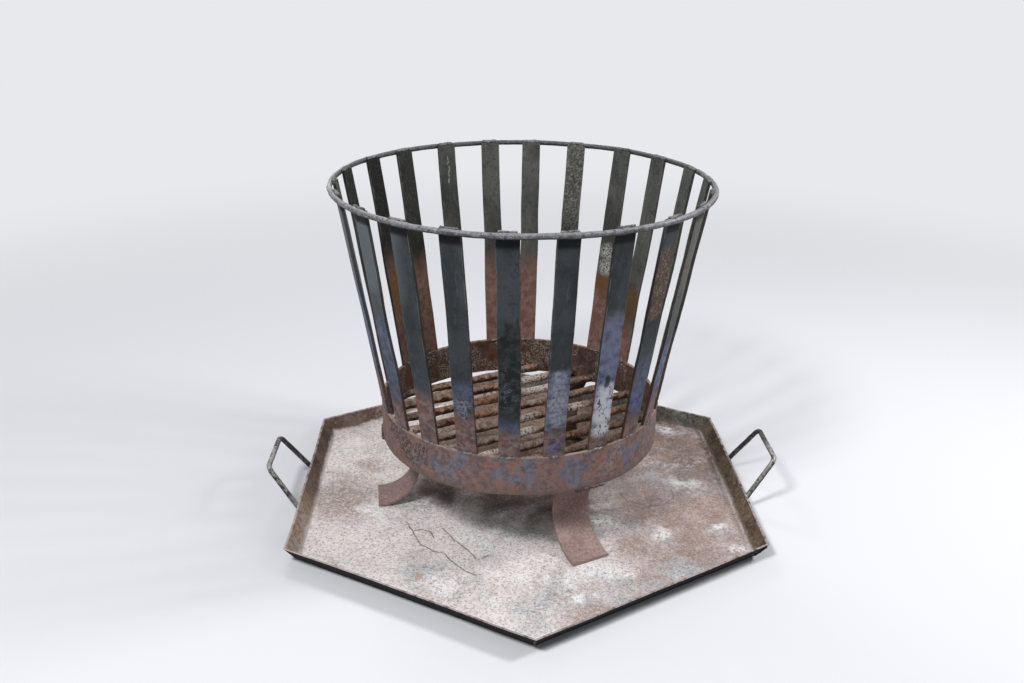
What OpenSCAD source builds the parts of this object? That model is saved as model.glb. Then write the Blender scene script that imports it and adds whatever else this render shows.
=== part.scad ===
// Fire basket of welded steel bar, standing loose on a hexagonal ash tray with two handles.
// Lengths are millimetres and +Z is up. Z = 0 is the underside of the tray, and X and Y are
// measured from the middle of the tray. Turns are in degrees from +X, the right-hand side, towards +Y,
// the back. The basket, from the legs to the top ring, lifts straight up off the tray.

/* [Top ring] */
// Outer diameter of the ring
ring_d = 560; // [500:5:620]
// Thickness of the ring's round bar
ring_bar = 8; // [6:0.5:10]

/* [Slats] */
// Number of slats round the basket
slat_count = 22; // [16:1:26]
// Width of a slat
slat_w = 30; // [20:1:36]
// Thickness of a slat
slat_t = 5; // [3:0.5:6]
// Height of the slats from the band's top edge to the middle of the ring's bar
slat_rise = 336; // [240:2:420]
// Height that the slats' ends stand above the middle of the ring's bar
slat_tip = 1; // [0:0.5:6]
// Turn of the first slat
slat_turn = 2.3; // [0:0.1:16]

/* [Base band] */
// Outer diameter of the band
band_d = 432; // [380:2:480]
// Height of the band
band_h = 60; // [40:1:80]
// Thickness of the band
band_t = 5; // [4:0.5:8]
// Height of the band's lower edge above the soles of the legs
band_lift = 119; // [104:1:121]

/* [Grate] */
// Number of round bars across the bottom of the band
grate_count = 9; // [5:2:9]
// Thickness of a grate bar
grate_bar = 12; // [8:1:16]
// Distance between the middles of two grate bars
grate_pitch = 41.5; // [30:0.5:46]
// Height of the bars' undersides above the band's lower edge
grate_lift = 3; // [0:0.5:30]
// Turn of the grate bars
grate_turn = 26; // [0:1:90]

/* [Legs] */
// Width of a leg's flat bar
leg_w = 60; // [40:1:70]
// Thickness of a leg's flat bar
leg_t = 5; // [4:0.5:6]
// Bend radius of a leg, to the middle of its thickness
leg_bend = 60; // [56:0.5:62]
// Distance that the middle of a leg's bend stands out from the band
leg_out = 9; // [6:0.5:12]
// Straight toe beyond the bend
leg_toe = 3; // [1:0.5:20]
// Turn of the left leg
leg_left_turn = 186; // [150:1:210]
// Turn of the front leg
leg_front_turn = 296; // [270:1:330]
// Turn of the back leg
leg_back_turn = 61; // [30:1:90]

/* [Tray] */
// Width of the tray across its corners, at the rim
tray_d = 816; // [700:4:900]
// Height of the rim's outer edge
tray_h = 28; // [20:1:50]
// Thickness of the sheet
tray_t = 2.5; // [2:0.5:4]
// Lean of the walls away from upright
tray_lean = 34.5; // [10:0.5:45]
// Outside radius of the fold between the floor and a wall
tray_fold = 6; // [5:0.5:10]

/* [Tray handles] */
// Thickness of a handle's round bar
handle_bar = 8; // [6:0.5:10]
// Distance that the grip stands off the rim
handle_reach = 71; // [50:1:90]
// Length of the grip, between the middles of the two legs
handle_grip_w = 100; // [90:1:130]
// Distance between the middles of the two legs at the rim
handle_foot_w = 124; // [92:1:160]
// Bend radius at the grip's two ends, to the middle of the bar
handle_bend = 12; // [8:0.5:20]
// Length of each leg that lies on the outside of the wall
handle_lap = 20; // [12:1:24]
// Distance that the left handle was welded off the middle of its side
handle_left_shift = -19; // [-60:1:60]

/* [Fits and welds] */
// Distance that the loose basket stands off the middle of the tray
basket_x = -8; // [-30:1:30]
// Clearance between the soles of the legs and the floor of the tray
sole_gap = 0.3; // [0.1:0.1:0.5]
// Clearance between a slat and the ring that it stands against
ring_gap = 0.05; // [0.02:0.01:0.2]
// Radius of the rolled edges of the flat bars
edge_r = 0.8; // [0.4:0.1:1]
// Thickness of a weld bead on the bars
bead = 6; // [4:0.5:8]
// Thickness of a weld bead on the sheet
seam = 4; // [3:0.5:5]
// Thickness of the thin end of a weld collar round a grate bar
collar_rim = 0.5; // [0.3:0.1:1]
// Number of facets round a thick bar or a bead
round_fn = 20; // [16:4:48]

/* [Hidden] */
ring_r = ring_d / 2 - ring_bar / 2;
band_r = band_d / 2;
band_in = band_r - band_t;
sole_z = tray_t + sole_gap;
band_z = sole_z + band_lift;
band_top = band_z + band_h;
ring_z = band_top + slat_rise;

// A slat is flat and the ring and band are round, so its edges meet them before its middle does.
lean_guess = atan((ring_r - ring_bar / 2 - band_r) / slat_rise);
slat_edge = ring_r - (ring_bar / 2 + ring_gap) / cos(lean_guess);
slat_head_r = sqrt(pow(slat_edge, 2) - pow(slat_w / 2, 2));
slat_foot_r = sqrt(pow(band_r, 2) - pow(slat_w / 2, 2));
slat_lean = atan((slat_head_r - slat_foot_r) / slat_rise);
slat_run = slat_rise / cos(slat_lean);
slat_end = slat_tip / cos(slat_lean);
slat_step = 360 / slat_count;

// The slats were set by hand. Turns of each one's two ends off their even places: at the ring,
// and at the band
slat_sets = [
    [-2, -2], [-2.2, -2.2], [-0.9, -0.9], [-1.1, -1.1], [0.5, 0.5], [0.6, 0.6],
    [-0.8, -0.8], [-0.6, -0.6], [0.5, 0.5], [-0.6, -0.6], [0.7, 0.7], [0, 0],
    [-1, -1], [1.1, -0.1], [1, 0.1], [0.7, 0.3], [-0.2, 0.1], [-0.6, 0.2],
    [-0.9, 1.8], [0.1, 2], [0.2, 0.2], [0, 0]
];
function slat_set(i, end) = i > len(slat_sets) ? 0 : slat_sets[i - 1][end];

grate_z = band_z + grate_lift + grate_bar / 2;
leg_reach = band_r + leg_out;
leg_z = sole_z + leg_bend + leg_t / 2;
leg_turns = [leg_left_turn, leg_front_turn, leg_back_turn];

tray_rim_a = tray_d / 2 * cos(30);
tray_foot_a = tray_rim_a - tray_h * tan(tray_lean);
fold_a = tray_foot_a - tray_fold * tan((90 - tray_lean) / 2);
wall_l = (tray_h - tray_fold * (1 - sin(tray_lean))) / cos(tray_lean);

// Flats that make up the round of the fold, and a height in whole thousandths, at which they meet
fold_steps = 6;
function whole(z) = round(z * 1000) / 1000;

handle_out = fold_a + (tray_fold + handle_bar / 2) * cos(tray_lean);
handle_up = tray_fold - (tray_fold + handle_bar / 2) * sin(tray_lean);
handle_splay = atan((handle_foot_w - handle_grip_w) / 2 / handle_reach);
grip_turn = 90 - handle_splay;
bend_cut = handle_bend * tan(grip_turn / 2);
leg_run = (handle_reach + handle_lap) / cos(handle_splay) - bend_cut;

// Names of the nodes
function numbered(name, i) = str(name, i < 10 ? "0" : "", i);
leg_names = ["leg_left", "leg_front", "leg_back"];
slat_names = [for (i = [1:slat_count]) numbered("slat_", i)];
grate_names = [for (i = [1:grate_count]) numbered("grate_bar_", i)];

// Colours
dark_steel = [0.24, 0.25, 0.25];
worn_steel = [0.42, 0.42, 0.41];
rust = [0.46, 0.33, 0.28];
leg_rust = [0.50, 0.40, 0.37];
ash_rust = [0.60, 0.49, 0.42];
weld_grey = [0.55, 0.53, 0.50];

// Cross-section of a flat bar with rolled edges, from x = 0 to x = t, centred on y = 0
module bar_section(t, w) {
    translate([edge_r, -w / 2]) square([t - 2 * edge_r, w]);
    translate([0, edge_r - w / 2]) square([t, w - 2 * edge_r]);
    for (x = [edge_r, t - edge_r], y = [edge_r - w / 2, w / 2 - edge_r])
        translate([x, y]) circle(r = edge_r, $fn = 16);
}

// A bead of weld along Y, centred on the origin, with round ends
module weld_bead(l, d) {
    rotate([90, 0, 0]) cylinder(h = l - d, d = d, center = true, $fn = round_fn);
    for (y = [-1, 1]) translate([0, y * (l - d) / 2, 0]) sphere(d = d, $fn = round_fn);
}

// Puts a piece on the basket, turned round the basket's axis
module on_basket(turn = 0) {
    translate([basket_x, 0, 0]) rotate(turn) children();
}

module ring_body() {
    translate([0, 0, ring_z])
        rotate_extrude($fn = 180) translate([ring_r, 0]) circle(d = ring_bar, $fn = round_fn);
}

module top_ring() {
    color(worn_steel) on_basket() ring_body();
}

module band_body() {
    translate([0, 0, band_z + band_h / 2])
        rotate_extrude($fn = 180) translate([band_in, 0]) bar_section(band_t, band_h);
}

module base_band() {
    color(rust) on_basket() band_body();
}

// Where a slat stands at the ring, and how far round from there its foot stands
function slat_place(i) = slat_turn + (i - 1) * slat_step + slat_set(i, 0);
function slat_skew(i) = slat_set(i, 1) - slat_set(i, 0);

// A slat's own frame: X out of its outer face, Y across it and Z up along it, from the height of
// the ring. The slat is turned in the plane of that face, so that its foot stands where it was set.
module at_slat(i) {
    translate([slat_head_r, 0, ring_z]) rotate([0, slat_lean, 0])
        rotate([asin(slat_foot_r * sin(slat_skew(i)) / slat_run), 0, 0]) children();
}

// A straight flat bar, cut level where it is butted on the band and square at its upper end
module slat_body(i) {
    below = slat_t * 2;
    difference() {
        at_slat(i) translate([-slat_t, 0, -slat_run - below])
            linear_extrude(slat_run + slat_end + below) bar_section(slat_t, slat_w);
        translate([slat_foot_r - 3 * slat_t, -2 * slat_w, band_top - 2 * below])
            cube([6 * slat_t, 4 * slat_w, 2 * below]);
    }
}

// The room on one side of a slat's inner or outer face, as far as its upper end
module slat_side(i, x) {
    at_slat(i) translate([x, -slat_w, -slat_run - bead])
        cube([2 * bead, 2 * slat_w, slat_run + bead + slat_end]);
}

module slat(i) {
    color(dark_steel) on_basket(slat_place(i)) slat_body(i);
}

function grate_offset(i) = (i - (grate_count + 1) / 2) * grate_pitch;

module grate_rod(i, d) {
    rotate(grate_turn) translate([0, grate_offset(i), grate_z])
        rotate([0, 90, 0]) cylinder(h = band_d, d = d, center = true, $fn = round_fn);
}

// A round bar whose ends are coped to the inside of the band
module grate_bar_body(i) {
    intersection() {
        grate_rod(i, grate_bar);
        translate([0, 0, band_z]) cylinder(h = band_h, r = band_in, $fn = 180);
    }
}

module grate_bar_piece(i) {
    color(ash_rust) on_basket() grate_bar_body(i);
}

// Side view of a leg: flat bar bent in a half circle, open outwards, with a short toe,
// cut level under the band
module leg_profile() {
    outer = leg_bend + leg_t / 2;
    inner = leg_bend - leg_t / 2;
    intersection() {
        translate([leg_reach, leg_z]) difference() {
            circle(r = outer, $fn = 120);
            circle(r = inner, $fn = 120);
        }
        translate([leg_reach - 2 * leg_bend, 0]) square([2 * leg_bend, band_z]);
    }
    translate([leg_reach, leg_z - outer]) square([leg_toe, leg_t]);
}

module leg_body() {
    rotate([90, 0, 0]) linear_extrude(leg_w, center = true) leg_profile();
}

module leg(i) {
    color(leg_rust) on_basket(leg_turns[i]) leg_body();
}

// One bead for each slat, over its end and against the ring, whose round it follows
module ring_weld(i) {
    sweep = 2 * asin((slat_w - bead) / 2 / slat_head_r);
    difference() {
        rotate(-sweep / 2) rotate_extrude(angle = sweep, $fn = 180) difference() {
            translate([slat_head_r, ring_z + slat_tip + bead / 4])
                circle(d = bead, $fn = round_fn);
            translate([ring_r, ring_z]) circle(d = ring_bar, $fn = round_fn);
        }
        slat_side(i, -2 * bead);
    }
}

module ring_welds() {
    color(weld_grey) for (i = [1:slat_count]) on_basket(slat_place(i)) ring_weld(i);
}

// The beads of all the slats on one side of the band's top edge, clear of the slats, whose own
// room starts at x
module foot_beads(r, x) {
    for (i = [1:slat_count]) rotate(slat_place(i)) difference() {
        rotate(slat_skew(i)) translate([r, 0, band_top]) weld_bead(slat_w - 2 * bead, bead);
        slat_side(i, x);
    }
}

// Two beads for each slat, outside and inside, where its foot is butted on the band
module slat_foot_welds() {
    sunk = bead / 4;
    inner_r = slat_foot_r - slat_t / cos(slat_lean);
    color(weld_grey) on_basket() {
        difference() {
            foot_beads(band_r - sunk, -2 * bead);
            translate([0, 0, band_z]) cylinder(h = 2 * band_h, r = band_r, $fn = 180);
        }
        intersection() {
            foot_beads(inner_r + sunk, -slat_t);
            translate([0, 0, band_z]) cylinder(h = 2 * band_h, r = inner_r, $fn = 180);
        }
    }
}

// A collar of weld round one end of a grate bar, flared towards the band
module grate_weld(i) {
    end = sqrt(pow(band_in, 2) - pow(grate_offset(i), 2));
    rim_d = grate_bar + 2 * collar_rim;
    intersection() {
        translate([end - 1.5 * bead, grate_offset(i), grate_z]) rotate([0, 90, 0]) difference() {
            cylinder(h = 3 * bead, d1 = rim_d, d2 = rim_d + 1.5 * bead, $fn = round_fn);
            translate([0, 0, -bead]) cylinder(h = 5 * bead, d = grate_bar, $fn = round_fn);
        }
        translate([0, 0, band_z]) cylinder(h = band_h, r = band_in, $fn = 180);
    }
}

module grate_welds() {
    color(weld_grey) for (i = [1:grate_count], half = [0, 180])
        on_basket(grate_turn + half) grate_weld(i);
}

// A bead along the band's lower edge outside each leg
module leg_weld() {
    difference() {
        translate([band_r - bead / 12, 0, band_z]) weld_bead(leg_w - 2 * bead, bead);
        translate([0, 0, band_z]) cylinder(h = band_h, r = band_r, $fn = 180);
        leg_body();
    }
}

module leg_welds() {
    color(weld_grey) for (turn = leg_turns) on_basket(turn) leg_weld();
}

// Half of the tray's section, for a surface that lies a distance inside the outer faces of the
// sheet: how far out and how high each edge of the fold lies, and the wall's edge at a level
function half_section(inset, level) =
    let (r = tray_fold - inset)
    let (turns = [for (k = [0:fold_steps]) k / fold_steps * (90 - tray_lean)])
    let (fold = [for (turn = turns) [fold_a + r * sin(turn), whole(tray_fold - r * cos(turn))]])
    let (last = fold[fold_steps])
    concat(fold, [[last.x + (level - last.y) * tan(tray_lean), level]]);

// The tray as a full block: six-sided slices, one for each edge of the section
module tray_form(inset, level) {
    edges = half_section(inset, level);
    rotate(30) for (i = [1:len(edges) - 1])
        translate([0, 0, edges[i - 1].y])
        cylinder(
            h = edges[i].y - edges[i - 1].y,
            r1 = edges[i - 1].x / cos(30), r2 = edges[i].x / cos(30), $fn = 6
        );
}

// Sheet folded up on six sides, with corners at the front and the back
module tray_pan() {
    color(ash_rust) difference() {
        tray_form(0, tray_h);
        tray_form(tray_t, 2 * tray_h);
    }
}

// A bead up the outside of each corner, where two walls meet
module tray_corner_weld() {
    foot_r = tray_foot_a / cos(30);
    rim_r = tray_d / 2;
    tilt = atan((rim_r - foot_r) / tray_h);
    seam_l = tray_h / cos(tilt) - 2 * seam;
    translate([(foot_r + rim_r) / 2 - seam / 4, 0, tray_h / 2])
        rotate([0, tilt, 0]) rotate([90, 0, 0]) weld_bead(seam_l, seam);
}

module tray_corner_welds() {
    color(weld_grey) difference() {
        for (turn = [30:60:330]) rotate(turn) tray_corner_weld();
        tray_form(0, tray_h);
    }
}

// Puts a piece on the outside of the right-hand wall: X out of the wall, Y along the side,
// Z up the slope of the wall from the top of the fold
module on_wall() {
    translate([handle_out, 0, handle_up]) rotate([0, tray_lean, 0]) children();
}

// One leg of a handle, from its end on the wall
module handle_leg_bar() {
    cylinder(h = leg_run, d = handle_bar, $fn = round_fn);
}

module at_handle_leg() {
    translate([0, handle_foot_w / 2 + handle_lap * tan(handle_splay), wall_l - handle_lap])
        rotate([handle_splay, 0, 0]) children();
}

// A leg and the bend at its top
module handle_arm() {
    at_handle_leg() {
        handle_leg_bar();
        translate([0, -handle_bend, leg_run]) rotate([90, 0, 90])
            rotate_extrude(angle = grip_turn, $fn = 96)
            translate([handle_bend, 0]) circle(d = handle_bar, $fn = round_fn);
    }
}

// Two arms joined by the grip, which laps over the ends of the bends by a hair
module handle_body() {
    grip_lap = 0.04;
    grip_l = handle_grip_w - 2 * bend_cut + 2 * grip_lap;
    on_wall() {
        handle_arm();
        mirror([0, 1, 0]) handle_arm();
        translate([0, grip_l / 2, wall_l + handle_reach]) rotate([90, 0, 0])
            cylinder(h = grip_l, d = handle_bar + grip_lap, $fn = round_fn);
    }
}

// Puts the right-hand handle's piece on the left-hand side
module on_left() {
    translate([0, handle_left_shift, 0]) rotate(180) children();
}

module tray_handle_right() {
    color(dark_steel) handle_body();
}

module tray_handle_left() {
    color(dark_steel) on_left() handle_body();
}

// Two beads along one leg of a handle, where it lies on the wall
module handle_leg_welds() {
    difference() {
        at_handle_leg() for (edge = [-1, 1])
            translate([seam / 4 - handle_bar / 2, edge * handle_bar / 2, handle_lap / 2])
            rotate([90, 0, 0]) weld_bead(handle_lap - seam, seam);
        at_handle_leg() translate([0, 0, -seam]) handle_leg_bar();
        translate([-2 * handle_bar - handle_bar / 2, 0, -tray_h]) cube([2 * handle_bar, tray_d, 3 * tray_h]);
    }
}

module handle_welds() {
    color(weld_grey) {
        on_wall() handle_leg_welds();
        on_wall() mirror([0, 1, 0]) handle_leg_welds();
        on_left() on_wall() handle_leg_welds();
        on_left() on_wall() mirror([0, 1, 0]) handle_leg_welds();
    }
}

top_ring();
base_band();
for (i = [1:slat_count]) slat(i);
for (i = [1:grate_count]) grate_bar_piece(i);
for (i = [0:2]) leg(i);
ring_welds();
slat_foot_welds();
grate_welds();
leg_welds();
tray_pan();
tray_handle_right();
tray_handle_left();
tray_corner_welds();
handle_welds();
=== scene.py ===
# Fire basket of welded steel bar, standing loose on a hexagonal ash tray.
# Lengths are metres and +Z is up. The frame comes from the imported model, and each piece
# is modelled where the model has it.
import math
from contextlib import contextmanager

import bmesh
import bpy
from mathutils import Matrix, Vector


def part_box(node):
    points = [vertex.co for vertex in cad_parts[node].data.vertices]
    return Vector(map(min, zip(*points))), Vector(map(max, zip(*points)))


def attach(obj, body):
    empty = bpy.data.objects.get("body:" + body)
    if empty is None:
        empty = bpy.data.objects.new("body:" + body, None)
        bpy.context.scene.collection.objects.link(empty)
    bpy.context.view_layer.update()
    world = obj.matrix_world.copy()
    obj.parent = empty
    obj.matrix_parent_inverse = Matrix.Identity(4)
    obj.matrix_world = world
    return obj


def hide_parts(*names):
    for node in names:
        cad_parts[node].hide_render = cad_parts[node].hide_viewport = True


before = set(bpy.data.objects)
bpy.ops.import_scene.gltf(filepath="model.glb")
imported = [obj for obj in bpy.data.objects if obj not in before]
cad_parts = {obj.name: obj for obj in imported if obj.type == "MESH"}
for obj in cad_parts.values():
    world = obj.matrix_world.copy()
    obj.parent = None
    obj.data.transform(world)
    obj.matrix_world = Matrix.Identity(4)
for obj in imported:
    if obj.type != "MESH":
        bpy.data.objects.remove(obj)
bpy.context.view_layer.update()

bl_info = {
    "name": "Fire basket on an ash tray",
    "version": (1, 0, 0),
    "blender": (4, 5, 0),
    "location": "View3D > Sidebar > Fire basket",
    "description": "Adds a rusty fire basket of flat bar with its hexagonal ash tray",
    "category": "Add Mesh",
}

MM = 0.001

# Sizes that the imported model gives
ring_low, ring_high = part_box("top_ring")
band_low, band_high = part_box("base_band")
tray_low, tray_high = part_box("tray_pan")
AXIS_X = (ring_low.x + ring_high.x) / 2
RING_BAR = ring_high.z - ring_low.z
RING_R = (ring_high.x - ring_low.x - RING_BAR) / 2
RING_Z = (ring_high.z + ring_low.z) / 2
BAND_R = (band_high.x - band_low.x) / 2
BAND_Z = band_low.z
BAND_TOP = band_high.z
TRAY_H = tray_high.z
RIM_A = (tray_high.x - tray_low.x) / 2

# Sizes that the pieces keep from the same drawing
BAR_T = 5 * MM
EDGE_R = 0.8 * MM
SLAT_W = 30 * MM
SLAT_TIP = 1 * MM
# From the middle of a slat's outer face round to the middle of its inner face, when unwrapped
FACE_STEP = SLAT_W + BAR_T
SLAT_COUNT = 22
SLAT_TURN = 2.3
SLAT_STEP = 360 / SLAT_COUNT
RING_GAP = 0.05 * MM
GRATE_COUNT = 9
GRATE_BAR = 12 * MM
GRATE_PITCH = 41.5 * MM
GRATE_TURN = 26
GRATE_Z = BAND_Z + 9 * MM
LEG_W = 60 * MM
LEG_BEND = 60 * MM
LEG_REACH = BAND_R + 9 * MM
LEG_TOE = 3 * MM
SOLE_Z = 2.8 * MM
LEG_Z = SOLE_Z + LEG_BEND + BAR_T / 2
LEG_TURNS = {"left": 186, "front": 296, "back": 61}
TRAY_T = 2.5 * MM
TRAY_FOLD = 6 * MM
TRAY_LEAN = math.radians(34.5)
HANDLE_BAR = 8 * MM
HANDLE_REACH = 71 * MM
HANDLE_GRIP = 100 * MM
HANDLE_FOOT = 124 * MM
HANDLE_BEND = 12 * MM
HANDLE_LAP = 20 * MM
HANDLE_SHIFT = {"right": 0.0, "left": -19 * MM}

# How close two points are one, and how long an edge counts as a long one of a section
SEAM = 0.01 * MM
LONG_EDGE = 20 * MM

# How finely the pieces are divided, so that dents and ripples have points to move
SLAT_CUTS = {"across": 7, "along": 89}
RING_STEPS = {"round": 880, "bar": 20}
BAND_STEPS = {"up": 15, "round": 420}
GRATE_STEPS = {"along": 119, "bar": 28}
LEG_STEPS = {"across": 11, "bend": 60}
TRAY_STEPS = {"floor": 71, "fold": 6, "wall": 8}
HANDLE_STEPS = {"grip": 16, "bend": 14, "arm": 32, "bar": 18}

# Turns of each slat's two ends off their even places, at the ring and at the band
SLAT_SETS = (
    (-2, -2), (-2.2, -2.2), (-0.9, -0.9), (-1.1, -1.1), (0.5, 0.5), (0.6, 0.6),
    (-0.8, -0.8), (-0.6, -0.6), (0.5, 0.5), (-0.6, -0.6), (0.7, 0.7), (0, 0),
    (-1, -1), (1.1, -0.1), (1, 0.1), (0.7, 0.3), (-0.2, 0.1), (-0.6, 0.2),
    (-0.9, 1.8), (0.1, 2), (0.2, 0.2), (0, 0),
)

# How each slat has worn. Heights are above the band: where the blue scale starts and ends, its
# strength, where the rust outside ends, strength of the ash at the foot, strength of pale flakes,
# where the rust inside ends, and strength of the dark scale
WEAR = ("blue_top", "blue_low", "blue", "rust_line", "ash", "pale", "rust_in", "dark")
SLAT_WEAR = {
    1: (0.20, 0.04, 0.5, 0.06, 0.2, 0.3, 0.10, 0.2),
    2: (0.20, 0.04, 0.4, 0.06, 0.2, 0.3, 0.06, 0.2),
    3: (0.18, 0.04, 0.4, 0.08, 0.2, 0.2, 0.05, 0.2),
    4: (0.18, 0.05, 0.3, 0.10, 0.3, 0.15, 0.115, 0.2),
    5: (0.18, 0.05, 0.3, 0.10, 0.3, 1.0, 0.14, 0.2),
    6: (0.18, 0.05, 0.4, 0.10, 0.2, 0.1, 0.13, 0.0),
    7: (0.18, 0.05, 0.5, 0.10, 0.2, 0.1, 0.13, 0.25),
    8: (0.18, 0.06, 0.4, 0.10, 0.2, 0.1, 0.135, 0.45),
    9: (0.18, 0.06, 0.3, 0.12, 0.2, 0.1, 0.143, 0.95),
    10: (0.18, 0.05, 0.3, 0.10, 0.2, 0.1, 0.17, 1.0),
    11: (0.18, 0.05, 0.4, 0.10, 0.2, 0.1, 0.20, 1.0),
    12: (0.20, 0.05, 0.4, 0.08, 0.1, 0.1, 0.12, 0.2),
    13: (0.22, 0.04, 0.5, 0.06, 0.1, 0.1, 0.10, 0.2),
    14: (0.17, 0.05, 0.5, 0.045, 0.2, 0.1, 0.10, 0.5),
    15: (0.12, 0.03, 0.1, 0.085, 0.2, 0.1, 0.10, 0.3),
    16: (0.108, 0.085, 0.6, 0.062, 0.1, 0.1, 0.10, 0.3),
    17: (0.054, 0.006, 0.50, 0.035, 0.1, 0.1, 0.10, 1.0),
    18: (0.135, 0.045, 0.8, 0.042, 0.1, 0.1, 0.10, 0.4),
    19: (0.205, 0.045, 1.0, 0.03, 0.3, 0.1, 0.10, 0.2),
    20: (0.145, 0.045, 0.6, 0.035, 0.1, 0.1, 0.10, 0.2),
    21: (0.14, 0.05, 0.8, 0.05, 0.1, 0.3, 0.10, 0.2),
    22: (0.15, 0.05, 0.6, 0.06, 0.2, 0.3, 0.10, 0.2),
}


def paint(red, green, blue):
    """A colour given as screen values from 0 to 255."""
    def linear(value):
        value /= 255
        return value / 12.92 if value <= 0.04045 else ((value + 0.055) / 1.055) ** 2.4
    return (linear(red), linear(green), linear(blue), 1.0)


# ---- Selecting and shaping ----

def start_clear():
    """Leaves nothing selected, so that an operator acts on the new piece alone."""
    if bpy.context.object and bpy.context.object.mode != "OBJECT":
        bpy.ops.object.mode_set(mode="OBJECT")
    bpy.ops.object.select_all(action="DESELECT")


def work_on(piece):
    start_clear()
    piece.select_set(True)
    bpy.context.view_layer.objects.active = piece


@contextmanager
def editing(piece):
    """Edit mode on one piece, with all of it selected at the start."""
    work_on(piece)
    bpy.ops.object.mode_set(mode="EDIT")
    bpy.ops.mesh.select_all(action="SELECT")
    yield
    bpy.ops.object.mode_set(mode="OBJECT")


def pick(piece, kind, test):
    """In edit mode, selects the vertices, edges or faces that pass a test, and nothing else."""
    bpy.ops.mesh.select_mode(type=kind)
    bpy.ops.mesh.select_all(action="DESELECT")
    shape = bmesh.from_edit_mesh(piece.data)
    parts = {"VERT": shape.verts, "EDGE": shape.edges, "FACE": shape.faces}[kind]
    for part in parts:
        if test(part):
            part.select_set(True)
    shape.select_flush_mode()
    bmesh.update_edit_mesh(piece.data)


def along(edge, axis):
    """Whether an edge runs along an axis."""
    direction = (edge.verts[1].co - edge.verts[0].co).normalized()
    return abs(direction[axis]) > 0.95


def apply_modifier(piece, kind, **settings):
    work_on(piece)
    modifier = piece.modifiers.new(kind.title(), kind)
    for name, value in settings.items():
        setattr(modifier, name, value)
    bpy.ops.object.modifier_apply(modifier=modifier.name)


def clouds(size, depth=2):
    texture = bpy.data.textures.new("relief", "CLOUDS")
    texture.noise_scale = size
    texture.noise_depth = depth
    return texture


def roughen(piece, size, height, direction="NORMAL", group="", depth=2, middle=0.5):
    """Raises and sinks the surface in patches. A middle below 0.5 raises more than it sinks."""
    apply_modifier(
        piece, "DISPLACE", texture=clouds(size, depth), texture_coords="LOCAL",
        strength=height, mid_level=middle, direction=direction, vertex_group=group,
    )


def weigh(piece, name, weight):
    """Makes a vertex group with a weight for each vertex."""
    group = piece.vertex_groups.new(name=name)
    for vertex in piece.data.vertices:
        group.add([vertex.index], min(1.0, max(0.0, weight(vertex.co))), "REPLACE")
    return name


def outward(piece):
    """Closes doubled seams and turns every face outwards."""
    with editing(piece):
        bpy.ops.mesh.remove_doubles(threshold=SEAM)
        bpy.ops.mesh.normals_make_consistent(inside=False)


def settle(piece, matrix):
    """Puts a piece in its place and keeps that place in its mesh."""
    piece.data.transform(matrix)
    piece.data.update()


def copy_of(piece, name, matrix):
    twin = piece.copy()
    twin.data = piece.data.copy()
    twin.name = twin.data.name = name
    bpy.context.collection.objects.link(twin)
    settle(twin, matrix)
    return twin


def smooth(piece, angle=40):
    work_on(piece)
    bpy.ops.object.shade_smooth_by_angle(angle=math.radians(angle))


def round_basket(turn):
    """The place of a piece of the basket that is turned round the basket's axis."""
    return Matrix.Translation((AXIS_X, 0, 0)) @ Matrix.Rotation(math.radians(turn), 4, "Z")


def dress(piece, finish, body, slot, *nodes):
    piece.data.materials.clear()
    piece.data.materials.append(FINISHES[finish]())
    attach(piece, body)
    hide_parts(*nodes)


# ---- Finishes ----

class Nodes:
    """A node tree that is built up node by node."""

    def __init__(self, tree):
        self.tree = tree

    def add(self, kind, inputs=None, **settings):
        node = self.tree.nodes.new(kind)
        for name, value in settings.items():
            setattr(node, name, value)
        for name, value in (inputs or {}).items():
            self.feed(node.inputs[name], value)
        return node

    def feed(self, socket, value):
        if isinstance(value, bpy.types.NodeSocket):
            self.tree.links.new(value, socket)
        else:
            socket.default_value = value


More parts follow.
